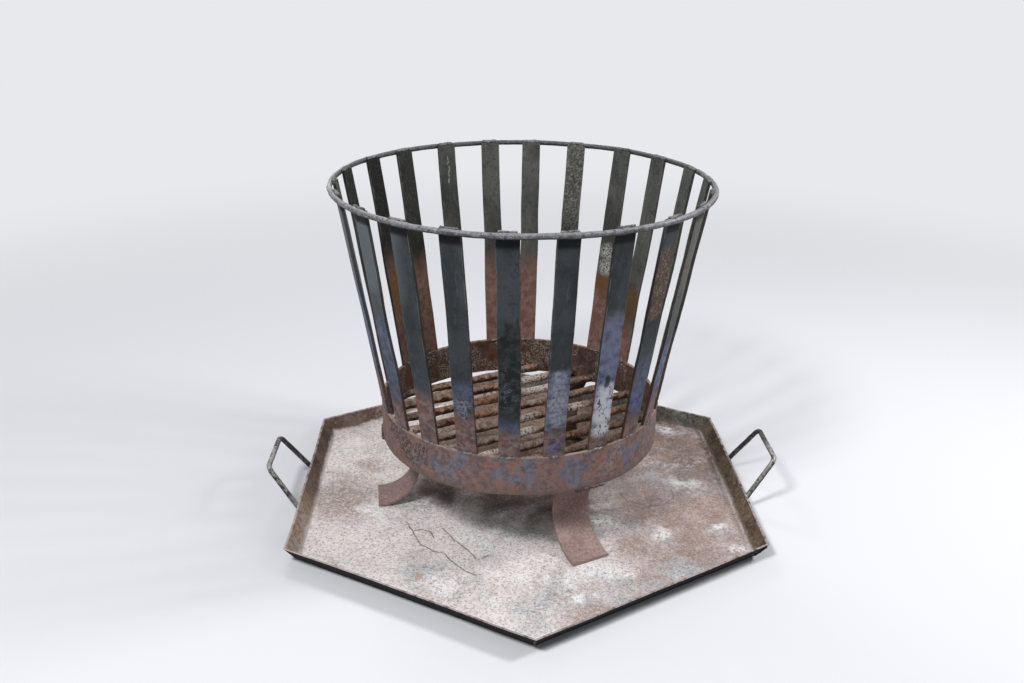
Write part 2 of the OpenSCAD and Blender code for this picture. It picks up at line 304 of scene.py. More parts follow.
class Finish(Nodes):
    """A material that is put together from noise laid on Object coordinates."""

    def __init__(self, name, roughness=0.6, specular=0.5):
        self.material = bpy.data.materials.new(name)
        self.material.use_nodes = True
        super().__init__(self.material.node_tree)
        self.tree.nodes.clear()
        self.shader = self.tree.nodes.new("ShaderNodeBsdfPrincipled")
        output = self.tree.nodes.new("ShaderNodeOutputMaterial")
        self.tree.links.new(self.shader.outputs["BSDF"], output.inputs["Surface"])
        self.shader.inputs["Roughness"].default_value = roughness
        self.shader.inputs["Specular IOR Level"].default_value = specular
        self.place = self.add("ShaderNodeTexCoord").outputs["Object"]

    def moved(self, stretch=(1, 1, 1), shift=(0, 0, 0), place=None):
        return self.add("ShaderNodeMapping", {
            "Vector": place or self.place, "Scale": stretch, "Location": shift,
        }).outputs["Vector"]

    def noise(self, size, detail=4, rough=0.55, bend=0.0, stretch=(1, 1, 1), shift=0.0, place=None):
        """Soft patches of a size in metres, from about 0.3 to 0.7."""
        return self.add("ShaderNodeTexNoise", {
            "Vector": self.moved(stretch, (shift, shift, shift), place),
            "Scale": 1 / size, "Detail": detail, "Roughness": rough, "Distortion": bend,
        }).outputs["Fac"]

    def step(self, value, low, high):
        """0 below low, 1 above high and smooth between them, or the other way round."""
        return self.add("ShaderNodeMapRange", {
            "Value": value, "From Min": low, "From Max": high,
        }, interpolation_type="SMOOTHSTEP").outputs["Result"]

    def calc(self, operation, first, second=0.0, clamp=False):
        return self.add(
            "ShaderNodeMath", {0: first, 1: second}, operation=operation, use_clamp=clamp,
        ).outputs["Value"]

    def less(self, first, second):
        return self.calc("SUBTRACT", first, second)

    def sway(self, noise, width):
        """A noise as a swing to both sides of 0."""
        return self.times(self.less(noise, 0.5), width)

    def share(self, limit):
        """A share as it stands, or a field with two values as the step between them."""
        return self.step(*limit) if isinstance(limit, tuple) else limit

    def chain(self, operation, values):
        total = values[0]
        for value in values[1:]:
            total = self.calc(operation, total, value)
        return total

    def times(self, *shares):
        return self.chain("MULTIPLY", [self.share(limit) for limit in shares])

    def plus(self, *terms):
        return self.chain("ADD", terms)

    def most(self, *values):
        return self.chain("MAXIMUM", values)

    def mix(self, share, first, second):
        node = self.add("ShaderNodeMix", data_type="RGBA")
        self.feed(node.inputs[0], share)
        self.feed(node.inputs[6], first)
        self.feed(node.inputs[7], second)
        return node.outputs[2]

    def tone(self, colour):
        """A colour as it stands, or one given as screen values."""
        return paint(*colour) if isinstance(colour, tuple) else colour

    def blend(self, share, first, second):
        """From one colour to another as a share goes from 0 to 1."""
        return self.mix(self.share(share), self.tone(first), self.tone(second))

    def coats(self, colour, *coats):
        """Lays coats over a colour in turn. Each is a colour and the shares that limit it."""
        for over, *shares in coats:
            colour = self.mix(self.times(*shares), colour, self.tone(over))
        return colour

    def axis(self, name, place=None):
        return self.add("ShaderNodeSeparateXYZ", {0: place or self.place}).outputs[name]

    def up(self):
        """How far the surface faces up, from -1 to 1."""
        normal = self.add("ShaderNodeNewGeometry").outputs["Normal"]
        return self.axis("Z", normal)

    def off_axis(self):
        """How far a point lies from the basket's axis."""
        x, y = self.less(self.axis("X"), AXIS_X), self.axis("Y")
        return self.calc("SQRT", self.plus(self.times(x, x), self.times(y, y)))

    def value_of(self, attribute):
        return self.add("ShaderNodeAttribute", attribute_name=attribute).outputs["Fac"]

    def wandering(self, size, distance):
        """Object coordinates pushed about by noise, so that an edge drawn on them is ragged."""
        push = self.add(
            "ShaderNodeTexNoise", {"Vector": self.place, "Scale": 1 / size, "Detail": 3.0})
        centred = self.add(
            "ShaderNodeVectorMath", {0: push.outputs["Color"], 1: (0.5, 0.5, 0.5)},
            operation="SUBTRACT",
        ).outputs[0]
        return self.add(
            "ShaderNodeVectorMath", {0: centred, 1: (distance,) * 3, 2: self.place},
            operation="MULTIPLY_ADD",
        ).outputs[0]

    def spot(self, place, point, radius, soft=0.6):
        """A patch round a point: 1 in its middle and 0 beyond its radius."""
        away = self.add(
            "ShaderNodeVectorMath", {0: place, 1: point}, operation="DISTANCE").outputs["Value"]
        return self.step(away, radius, radius * (1 - soft))

    def line(self, place, points, width):
        """A line through points: 1 on it and 0 beyond its width."""
        nearest = None
        for start, end in zip(points, points[1:]):
            run = Vector(end) - Vector(start)
            from_start = self.add(
                "ShaderNodeVectorMath", {0: place, 1: start}, operation="SUBTRACT").outputs[0]
            share = self.add("ShaderNodeVectorMath", {
                0: from_start, 1: tuple(run / run.length_squared)}, operation="DOT_PRODUCT")
            share = self.calc("ADD", share.outputs["Value"], 0.0, clamp=True)
            foot = self.add(
                "ShaderNodeVectorMath", {0: tuple(run), "Scale": share}, operation="SCALE")
            away = self.add("ShaderNodeVectorMath", {
                0: from_start, 1: foot.outputs[0]}, operation="DISTANCE").outputs["Value"]
            nearest = away if nearest is None else self.calc("MINIMUM", nearest, away)
        return self.step(nearest, width, width * 0.3)

    def done(self, colour, relief=None, depth=0.0005, roughness=None, metallic=None):
        self.feed(self.shader.inputs["Base Color"], colour)
        if relief is not None:
            bump = self.add(
                "ShaderNodeBump", {"Height": relief, "Distance": depth, "Strength": 1.0})
            self.tree.links.new(bump.outputs["Normal"], self.shader.inputs["Normal"])
        if roughness is not None:
            self.feed(self.shader.inputs["Roughness"], roughness)
        if metallic is not None:
            self.feed(self.shader.inputs["Metallic"], metallic)
        return self.material


def on_slat(number, height, inside=False):
    """The point in the middle of a slat's face at a height above the band."""
    head, foot = slat_frame()[:2]
    at_ring, at_band = SLAT_SETS[number - 1]
    share = height / (RING_Z - BAND_TOP)
    turn = math.radians(
        SLAT_TURN + (number - 1) * SLAT_STEP + at_band + (at_ring - at_band) * share)
    out = foot + (head - foot) * share - (BAR_T if inside else 0)
    return (AXIS_X + out * math.cos(turn), out * math.sin(turn), BAND_TOP + height)


# The ring's two joints: turn round the basket and reach along the ring
RING_ENDS = ((188, 0.034), (5, 0.026))


def on_ring(turn):
    angle = math.radians(turn)
    return (AXIS_X + RING_R * math.cos(angle), RING_R * math.sin(angle), RING_Z)


def slat_steel():
    """Flat bar: dark mill scale above, heat blue lower down, and rust and ash near the fire."""
    f = Finish("slat_steel", specular=0.12)
    height = f.less(f.axis("Z"), BAND_TOP)
    unwrapped = f.add("ShaderNodeUVMap", uv_map="unwrapped").outputs["UV"]
    across = f.axis("X", unwrapped)
    inside = f.step(across, 0.0165, 0.0190)
    off_middle = f.calc(
        "MINIMUM", f.calc("ABSOLUTE", across), f.calc("ABSOLUTE", f.less(across, FACE_STEP)))
    side = f.step(off_middle, 0.0152, 0.0160)
    arris = f.times((off_middle, 0.0138, 0.0146), f.less(1.0, side))
    blue_top, blue_low, blue, rust_line, ash, pale, rust_in, dark = (
        f.value_of(name) for name in WEAR)
    ragged_place = f.wandering(0.010, 0.010)
    patches = f.noise(0.06, 5, 0.6, 0.4, (1, 1, 0.5))
    mottle = f.noise(0.011, 6, 0.66)
    grain = f.noise(0.0048, 5, 0.66)
    speckle = f.noise(0.0026, 4, 0.62)
    fine = f.noise(0.0009, 2, 0.5)
    wander = f.plus(f.sway(patches, 0.10), f.sway(mottle, 0.05))
    ragged = f.plus(height, wander)

    def marks(*points, strength=1.0):
        """Patches round points on the slats: number, height, radius and whether inside."""
        return f.times(f.most(*(
            f.spot(ragged_place, on_slat(number, high, within), radius, 0.7)
            for number, high, radius, within in points)), strength)

    # Outside
    lit_left = f.times((f.axis("X"), -0.160, -0.195), (ragged, 0.06, 0.16))
    lit_right = f.times((f.axis("X"), 0.17, 0.23), (ragged, 0.10, 0.20))
    green = f.times((ragged, 0.235, 0.19), (ragged, 0.045, 0.075), dark)
    in_blue = f.times(
        (f.less(ragged, blue_top), 0.012, -0.012), (f.less(ragged, blue_low), -0.012, 0.008), blue)
    scale = f.coats(
        f.blend((mottle, 0.36, 0.64), (68, 75, 96), (102, 112, 142)),
        ((84, 85, 92), (patches, 0.50, 0.66), 0.7),
        ((46, 48, 60), (speckle, 0.58, 0.66), 0.6))
    violet = f.times((f.less(ragged, blue_low), 0.03, -0.01), (patches, 0.42, 0.58), 0.5)
    rusty = f.coats(
        f.blend((mottle, 0.40, 0.62), (86, 71, 69), (122, 102, 98)),
        ((122, 82, 70), (f.noise(0.022, 4, 0.6, shift=5.0), 0.54, 0.62), 0.6),
        ((66, 62, 70), (grain, 0.52, 0.62), 0.5))
    heated = marks((18, 0.018, 0.016, False), (20, 0.062, 0.020, False), strength=0.6)
    speckled = marks(
        (20, 0.285, 0.020, False), (20, 0.262, 0.030, False), (20, 0.235, 0.028, False),
        (20, 0.205, 0.022, False), (21, 0.25, 0.02, False))
    dots = f.noise(0.0036, 2, 0.5, shift=2.0)
    flaked = marks((16, 0.078, 0.017, False), (16, 0.064, 0.013, False))
    flaked = f.times(flaked, (mottle, 0.36, 0.50))
    greyed = f.times(
        marks(
            (18, 0.088, 0.024, False), (18, 0.064, 0.020, False), (18, 0.110, 0.018, False),
            (18, 0.130, 0.016, False)), (mottle, 0.32, 0.46), 0.9)
    dusky = marks((19, 0.200, 0.030, False), (19, 0.165, 0.030, False), (19, 0.135, 0.022, False))
    sprayed = marks((17, 0.112, 0.022, False), (17, 0.092, 0.018, False), (17, 0.136, 0.016, False))
    ashen = f.times(
        marks(
            (19, 0.098, 0.020, False), (19, 0.080, 0.026, False), (19, 0.058, 0.028, False),
            (19, 0.034, 0.020, False)), (mottle, 0.30, 0.44))
    flecks = f.noise(0.0065, 6, 0.70, 0.6, (1, 1, 0.6))
    oval = on_slat(19, 0.112)
    oval = f.spot(
        f.moved((1, 1, 0.45), place=ragged_place), (oval[0], oval[1], oval[2] * 0.45), 0.006, 0.5)
    # Painted shadow of the ring, over dark scale, at the top of each slat's outer face
    ring_shadow_and_scale = f.step(height, 0.3145, 0.3215)
    outer = f.coats(
        f.blend((patches, 0.38, 0.62), (44, 47, 49), (62, 66, 69)),
        ((32, 35, 36), (mottle, 0.50, 0.68), 0.5),
        ((86, 91, 94), (f.noise(0.007, 5, 0.66, 0, (1, 1, 0.22)), 0.56, 0.68), 0.35),
        ((96, 103, 106), lit_left, 0.75),
        ((100, 98, 95), lit_right, 0.7),
        (f.blend((mottle, 0.4, 0.6), (28, 31, 31), (48, 53, 53)), green),
        (scale, in_blue),
        ((82, 74, 86), violet),
        (rusty, (f.less(ragged, rust_line), 0.014, -0.012)),
        (f.blend((mottle, 0.4, 0.6), (54, 58, 96), (84, 96, 136)), heated),
        ((88, 76, 64), speckled, 0.8),
        ((138, 102, 78), speckled, (dots, 0.54, 0.64), 0.9),
        ((50, 45, 40), speckled, (dots, 0.46, 0.36), 0.7),
        (f.blend((grain, 0.42, 0.50), (38, 39, 45), (104, 108, 118)), flaked),
        (f.blend((grain, 0.40, 0.56), (104, 106, 118), (138, 140, 150)), greyed),
        ((110, 112, 130), dusky, (mottle, 0.20, 0.54), 0.7),
        ((90, 99, 114), sprayed, (mottle, 0.44, 0.56), (speckle, 0.48, 0.60), 0.7),
        (f.blend((flecks, 0.41, 0.46), (80, 80, 86), (192, 195, 200)), ashen, 0.9),
        ((40, 40, 44), oval, 0.9),
        ((12, 12, 13), ring_shadow_and_scale, 0.9))

    # Inside
    rust_inner = f.coats(
        f.blend((mottle, 0.38, 0.62), (104, 77, 68), (127, 98, 89)),
        (f.blend((mottle, 0.4, 0.6), (38, 29, 22), (68, 50, 36)), dark, 0.45))
    brown = marks(
        (10, 0.12, 0.05, True), (4, 0.115, 0.03, True), (11, 0.15, 0.05, True),
        (3, 0.10, 0.04, True), strength=0.8)
    flaky = f.times(
        pale, (f.plus(f.times(grain, 0.5), f.times(speckle, 0.5)), 0.46, 0.60),
        (ragged, 0.17, 0.23))
    flaked_off = f.times(
        marks((4, 0.170, 0.020, True), (4, 0.145, 0.020, True)), (speckle, 0.42, 0.52))
    drip = f.line(ragged_place, [on_slat(8, 0.320, True), on_slat(8, 0.278, True)], 2.0 * MM)
    inner = f.coats(
        f.blend((patches, 0.38, 0.62), (62, 63, 60), (88, 89, 85)),
        ((37, 38, 34), (mottle, 0.50, 0.68), 0.5),
        ((98, 96, 88), (f.noise(0.008, 5, 0.66, 0, (1, 1, 0.25)), 0.56, 0.66), 0.3),
        (f.blend((patches, 0.4, 0.6), (12, 12, 11), (26, 26, 23)), dark, 0.95),
        (rust_inner, (f.less(ragged, rust_in), 0.035, -0.02)),
        ((92, 66, 36), brown),
        ((134, 132, 126), flaky, 0.75),
        ((166, 166, 160), flaked_off, 0.85),
        ((132, 129, 118), drip, 0.8))

    dust = f.times(ash, (height, 0.05, 0.006), (f.noise(0.009, 6, 0.7), 0.48, 0.6))
    specks = f.times((speckle, 0.64, 0.72), (patches, 0.44, 0.60), 0.45)
    pits = f.times((f.noise(0.005, 4, 0.7, shift=3.0), 0.60, 0.70), 0.6)
    worn = f.times(arris, (f.noise(0.02, 4, 0.6, shift=8.0), 0.44, 0.56))
    relief = f.plus(
        f.times(mottle, 0.45), f.times(grain, 0.3), f.times(fine, 0.10), f.times(flaky, 0.35),
        f.times(flaked, grain, 0.8), f.times(ashen, grain, 0.8))
    colour = f.coats(
        f.mix(inside, outer, inner),
        ((158, 152, 148), dust, 0.6),
        ((132, 126, 116), specks),
        ((24, 22, 21), pits),
        ((34, 31, 28), side, 0.6),
        ((126, 118, 114), worn, 0.5))
    return f.done(colour, relief, 0.0008, f.plus(f.times(mottle, -0.4), 0.80))


def ring_steel():
    """Round bar with a thin grey scale, with soot towards the fire, a painted highlight on top and
    painted shade underneath.
    """
    f = Finish("ring_steel", specular=0.35)
    radius = f.off_axis()
    patches = f.noise(0.03, 4)
    mottle = f.noise(0.006, 5, 0.65)
    grain = f.noise(0.0024, 3, 0.6)
    flaked = f.most(*(f.spot(f.place, on_ring(turn), size, 0.6) for turn, size in RING_ENDS))
    soot_and_shade = f.step(radius, RING_R + 1 * MM, RING_R - 3 * MM)
    colour = f.coats(
        f.blend((patches, 0.38, 0.62), (72, 71, 73), (100, 100, 105)),
        # Painted highlight on the top of the bar
        ((142, 142, 150), (f.up(), 0.3, 0.85), 0.5),
        ((132, 131, 134), (mottle, 0.52, 0.62), 0.7),
        ((48, 44, 40), (mottle, 0.46, 0.36), 0.8),
        ((166, 162, 152), (grain, 0.58, 0.68), 0.7),
        ((178, 175, 164), flaked, (grain, 0.44, 0.52), 0.8),
        ((46, 44, 43), soot_and_shade, 0.65),
        # Painted shade on the underside of the bar
        ((24, 23, 24), (f.up(), -0.1, -0.7), 0.8))
    return f.done(
        colour, f.plus(mottle, f.times(grain, 0.4)), 0.0012, f.plus(f.times(mottle, -0.5), 0.72),
        f.times((patches, 0.3, 0.7), 0.25))


def on_band(turn, height):
    """A point on the band's face at a turn round the basket and a height above its lower edge."""
    angle = math.radians(turn)
    return (AXIS_X + BAND_R * math.cos(angle), BAND_R * math.sin(angle), BAND_Z + height)


def band_rust():
    """Rolled flat bar: red-brown rust with blue-grey scale in patches, ash inside."""
    f = Finish("band_rust", 0.75, specular=0.3)
    radius = f.off_axis()
    inside = f.step(radius, BAND_R - 2 * MM, BAND_R - 3 * MM)
    ragged = f.wandering(0.016, 0.020)
    blotch = f.noise(0.032, 5, 0.60, 0.5)
    upright = f.noise(0.032, 5, 0.6, 0.5, (1, 1, 0.6), 2.0)
    mottle = f.noise(0.010, 6, 0.68)
    grain = f.noise(0.0045, 5, 0.66)
    speckle = f.noise(0.0024, 4, 0.62)
    orange = f.step(upright, 0.47, 0.56)

    def marks(soft, *points):
        """Patches on the outer face: turn, height above the lower edge and radius."""
        return f.most(*(
            f.spot(ragged, on_band(turn, height), size, soft) for turn, height, size in points))

    near = marks(
        0.9, (236, 0.042, 0.026), (241, 0.030, 0.018), (246, 0.044, 0.016), (260, 0.036, 0.026),
        (267, 0.024, 0.018), (273, 0.036, 0.030), (286, 0.040, 0.026), (290, 0.026, 0.022),
        (311, 0.046, 0.020), (319, 0.036, 0.022), (328, 0.038, 0.024), (20, 0.03, 0.03),
        (75, 0.04, 0.03), (120, 0.03, 0.03), (160, 0.04, 0.03))
    blue = f.step(f.plus(blotch, f.times(near, 0.14)), 0.555, 0.625)
    dark = marks(
        0.8, (206, 0.052, 0.026), (211, 0.046, 0.032), (217, 0.036, 0.036), (223, 0.026, 0.032),
        (228, 0.044, 0.02))
    low = f.step(f.plus(f.axis("Z"), f.sway(mottle, 0.02)), BAND_Z + 0.016, BAND_Z + 0.002)
    light = marks(0.8, (305, 0.030, 0.020), (309, 0.046, 0.016))
    ash = f.times((blotch, 0.46, 0.56), (speckle, 0.50, 0.58))
    outer = f.coats(
        f.blend((mottle, 0.38, 0.62), (92, 76, 74), (120, 100, 97)),
        ((132, 92, 79), orange, (mottle, 0.34, 0.56), 0.6),
        (f.blend((mottle, 0.36, 0.62), (82, 83, 92), (104, 105, 118)), blue, 0.85),
        ((44, 41, 38), dark, (grain, 0.56, 0.44), 0.9),
        ((132, 116, 100), dark, (speckle, 0.56, 0.64), 0.6),
        ((138, 118, 112), (grain, 0.56, 0.66), 0.45),
        ((66, 54, 52), (grain, 0.42, 0.34), 0.35),
        ((100, 86, 76), low, 0.5),
        ((146, 138, 128), light, (grain, 0.46, 0.54), 0.5))
    inner = f.coats(
        f.blend((mottle, 0.4, 0.6), (58, 42, 35), (88, 66, 55)),
        ((90, 56, 36), (upright, 0.46, 0.58), 0.5),
        ((156, 148, 140), ash, 0.75),
        ((32, 28, 25), (grain, 0.42, 0.32), 0.8))
    rim = f.step(f.axis("Z"), BAND_TOP - 1.6 * MM, BAND_TOP - 0.6 * MM)
    relief = f.plus(f.times(mottle, 0.5), f.times(grain, 0.4), f.times(speckle, 0.2))
    colour = f.coats(
        f.mix(inside, outer, inner),
        ((160, 150, 144), (speckle, 0.64, 0.72), 0.4),
        ((150, 128, 116), rim, (grain, 0.34, 0.54), 0.8))
    return f.done(colour, relief, 0.0013)


# Ash heaps and burnt places on the grate, in millimetres from the basket's middle, with a radius
ASH_HEAPS = [(30, 130, 70), (5, 10, 34), (100, 35, 30), (-55, -110, 34), (-120, -100, 30),
             (-170, -60, 34), (10, -45, 30)]
BURNT_PATCHES = [(-50, 0, 40), (40, -125, 40), (110, -60, 40), (150, 20, 40), (-60, 60, 40),
                 (60, 60, 30)]


def grate_ash():
    """Round bar crusted with ash on top, brown and orange below."""
    f = Finish("grate_ash", 0.9, specular=0.2)
    patches = f.noise(0.035, 5, 0.6)
    mottle = f.noise(0.009, 6, 0.68)
    grain = f.noise(0.0038, 5, 0.66)
    below = f.blend((mottle, 0.4, 0.6), (44, 28, 20), (84, 55, 38))
    crust = f.step(f.plus(f.up(), f.sway(mottle, 1.6), f.sway(patches, 1.6)), 0.0, 0.65)
    above = f.coats(
        f.blend((patches, 0.40, 0.60), (134, 98, 78), (136, 122, 112)),
        ((158, 146, 136), (mottle, 0.50, 0.62), 0.8),
        ((98, 62, 42), (mottle, 0.48, 0.38), 0.8),
        ((176, 168, 160), (grain, 0.56, 0.66), 0.6))
    ragged = f.wandering(0.02, 0.03)

    def places(marks):
        """Patches round points on the grate."""
        return f.most(*(
            f.spot(ragged, (AXIS_X + x * MM, y * MM, GRATE_Z), radius * MM, 0.8)
            for x, y, radius in marks))

    burnt = places(BURNT_PATCHES)
    shaded = f.step(f.axis("X"), AXIS_X + 0.02, AXIS_X + 0.11)
    heap = places(ASH_HEAPS)
    colour = f.coats(
        f.mix(crust, below, above),
        ((38, 27, 22), (grain, 0.44, 0.34), 0.7),
        (f.blend((mottle, 0.42, 0.56), (98, 66, 48), (142, 104, 82)), burnt, 0.8),
        ((62, 43, 33), shaded, (patches, 0.36, 0.56), 0.55),
        ((182, 176, 168), heap, (grain, 0.42, 0.50), 0.9))
    return f.done(colour, f.plus(mottle, f.times(grain, 0.5)), 0.0018)


def leg_rust():
    """Bent flat bar: even pinkish rust, with painted shade on the upper bend under the band and on
    the back leg.
    """
    f = Finish("leg_rust", 0.8, specular=0.3)
    patches = f.noise(0.05, 4, 0.55)
    mottle = f.noise(0.012, 5, 0.6)
    speckle = f.noise(0.0034, 5, 0.66)
    colour = f.coats(
        f.blend((patches, 0.34, 0.66), (132, 109, 103), (154, 131, 126)),
        ((156, 134, 130), (mottle, 0.5, 0.66), 0.3),
        ((106, 86, 80), (f.axis("X"), -0.03, -0.10), 0.6),
        ((176, 158, 156), (speckle, 0.52, 0.62), 0.4),
        ((100, 80, 76), (speckle, 0.46, 0.38), 0.45),
        ((118, 98, 94), (mottle, 0.42, 0.34), 0.4),
        # Painted shade on the upper bend, under the band
        ((88, 62, 54), (f.axis("Z"), 0.065, 0.115), 0.45),
        # Painted shade on the back leg, which stands in the basket's shadow
        ((46, 35, 30), (f.axis("Y"), 0.0, 0.10), 0.8))
    return f.done(colour, f.plus(f.times(mottle, 0.6), f.times(speckle, 0.6)), 0.0009)


def weld_metal():
    """Weld beads: grey lumps in dark scale."""
    f = Finish("weld_metal", 0.65, specular=0.35)
    mottle = f.noise(0.005, 5, 0.65)
    patches = f.noise(0.03, 3)
    low = f.step(f.axis("Z"), 0.20, 0.15)
    colour = f.coats(
        f.blend((mottle, 0.40, 0.60), (66, 65, 66), (112, 111, 113)),
        ((146, 143, 136), (patches, 0.50, 0.62), 0.5),
        (f.blend((mottle, 0.42, 0.56), (84, 78, 76), (172, 166, 160)), low),
        ((44, 40, 38), (f.noise(0.0022, 3), 0.56, 0.66), 0.7))
    return f.done(colour, mottle, 0.0010, None, f.times((mottle, 0.5, 0.7), 0.25))


def seam_metal():
    """Welds on the tray and under the band: brown, with painted shade nearly black at the tray's
    right back.
    """
    f = Finish("seam_metal", 0.85, specular=0.25)
    mottle = f.noise(0.006, 5, 0.65)
    pale = f.times((f.axis("X"), -0.15, -0.20), (f.axis("Y"), 0.10, 0.15))
    # Painted shade, nearly black, on the welds at the right back
    dark = f.times((f.axis("X"), 0.15, 0.20), (f.axis("Y"), 0.10, 0.15))
    colour = f.coats(
        f.blend((mottle, 0.42, 0.64), (62, 49, 44), (112, 94, 86)),
        ((150, 142, 134), pale, (mottle, 0.38, 0.52)),
        ((20, 17, 16), dark, 0.9))
    return f.done(colour, mottle, 0.0010)


def handle_steel():
    """Round bar, nearly black, worn bright in patches, with a painted highlight on its upper side
    towards the front.
    """
    f = Finish("handle_steel", specular=0.4)
    patches = f.noise(0.02, 4, 0.6)
    mottle = f.noise(0.006, 5, 0.65)
    worn = f.times((patches, 0.50, 0.60), (mottle, 0.40, 0.55))
    # Painted highlight on the upper side of the bar towards the front
    near = f.step(f.plus(f.axis("Y"), f.sway(patches, 0.10)), 0.015, -0.030)
    painted_highlight = f.times(near, (f.up(), -0.1, 0.6), (mottle, 0.36, 0.52))
    colour = f.coats(
        f.blend((mottle, 0.42, 0.6), (27, 26, 26), (58, 55, 54)),
        ((132, 129, 126), worn, 0.7),
        ((158, 156, 150), painted_highlight, 0.85),
        ((96, 80, 68), (f.noise(0.003, 3), 0.60, 0.68), 0.7))
    return f.done(colour, mottle, 0.0008, f.step(mottle, 1.0, 0.0), f.times(worn, 0.5))


# Marks on the tray's floor, in millimetres from the tray's middle, with a radius
CRACKS = [
    [(-184, -98), (-170, -133), (-159, -158), (-140, -175), (-122, -182), (-112, -201), (-93, -224),
     (-79, -235), (-70, -235)],
    [(-172, -121), (-159, -118), (-146, -126), (-140, -141)],
    [(-127, -116), (-108, -149), (-88, -173), (-74, -199), (-58, -189)],
]
WHITE_PATCHES = [(270, 16, 34), (276, 200, 40), (315, -182, 40), (124, -97, 36), (208, -126, 24),
                 (293, -118, 24), (95, -263, 30), (57, -286, 26), (-43, -140, 60), (-160, -88, 17),
                 (-10, -244, 24), (22, -240, 30), (60, -232, 34), (100, -226, 34), (140, -234, 26),
                 (-120, -250, 40), (-240, -60, 40), (-70, -150, 40), (-60, -165, 46),
                 (20, -250, 28),
                 (48, -246, 28), (78, -240, 28), (108, -236, 28)]
ORANGE_SPOTS = [(-153, -241, 10), (-146, -250, 8), (-130, -289, 8), (-118, -282, 6), (-43, -255, 9),
                (157, -244, 8), (171, -222, 9), (-96, -268, 7)]
RUST_PATCHES = [(250, 190, 150), (300, 120, 100), (-300, -30, 100), (272, 110, 85), (187, -58, 65),
                (235, -98, 60), (157, -172, 60), (295, -69, 60), (190, -200, 40), (80, -330, 60),
                (240, -170, 50), (-259, 81, 34), (40, -290, 30)]
# Painted shadow of the basket on the floor, under it and behind it, and beside the left leg
PAINTED_SHADOW_PATCHES = [(60, -70, 105), (-30, -20, 130), (60, 60, 160), (-30, 150, 120), (100, 170, 130),
                (30, 260, 170), (140, 250, 160), (-135, 2, 78)]
COOL_PATCHES = [(-90, -262, 50), (40, -262, 50), (100, -262, 46), (-190, -60, 60), (-60, -118, 50),
                (210, -250, 60), (230, 40, 60), (-150, -235, 60), (10, -320, 60), (70, -285, 40),
                (130, -270, 46)]
RING_MARK = [(246, -6), (244, -32), (224, -53), (196, -56), (167, -39), (160, -18)]


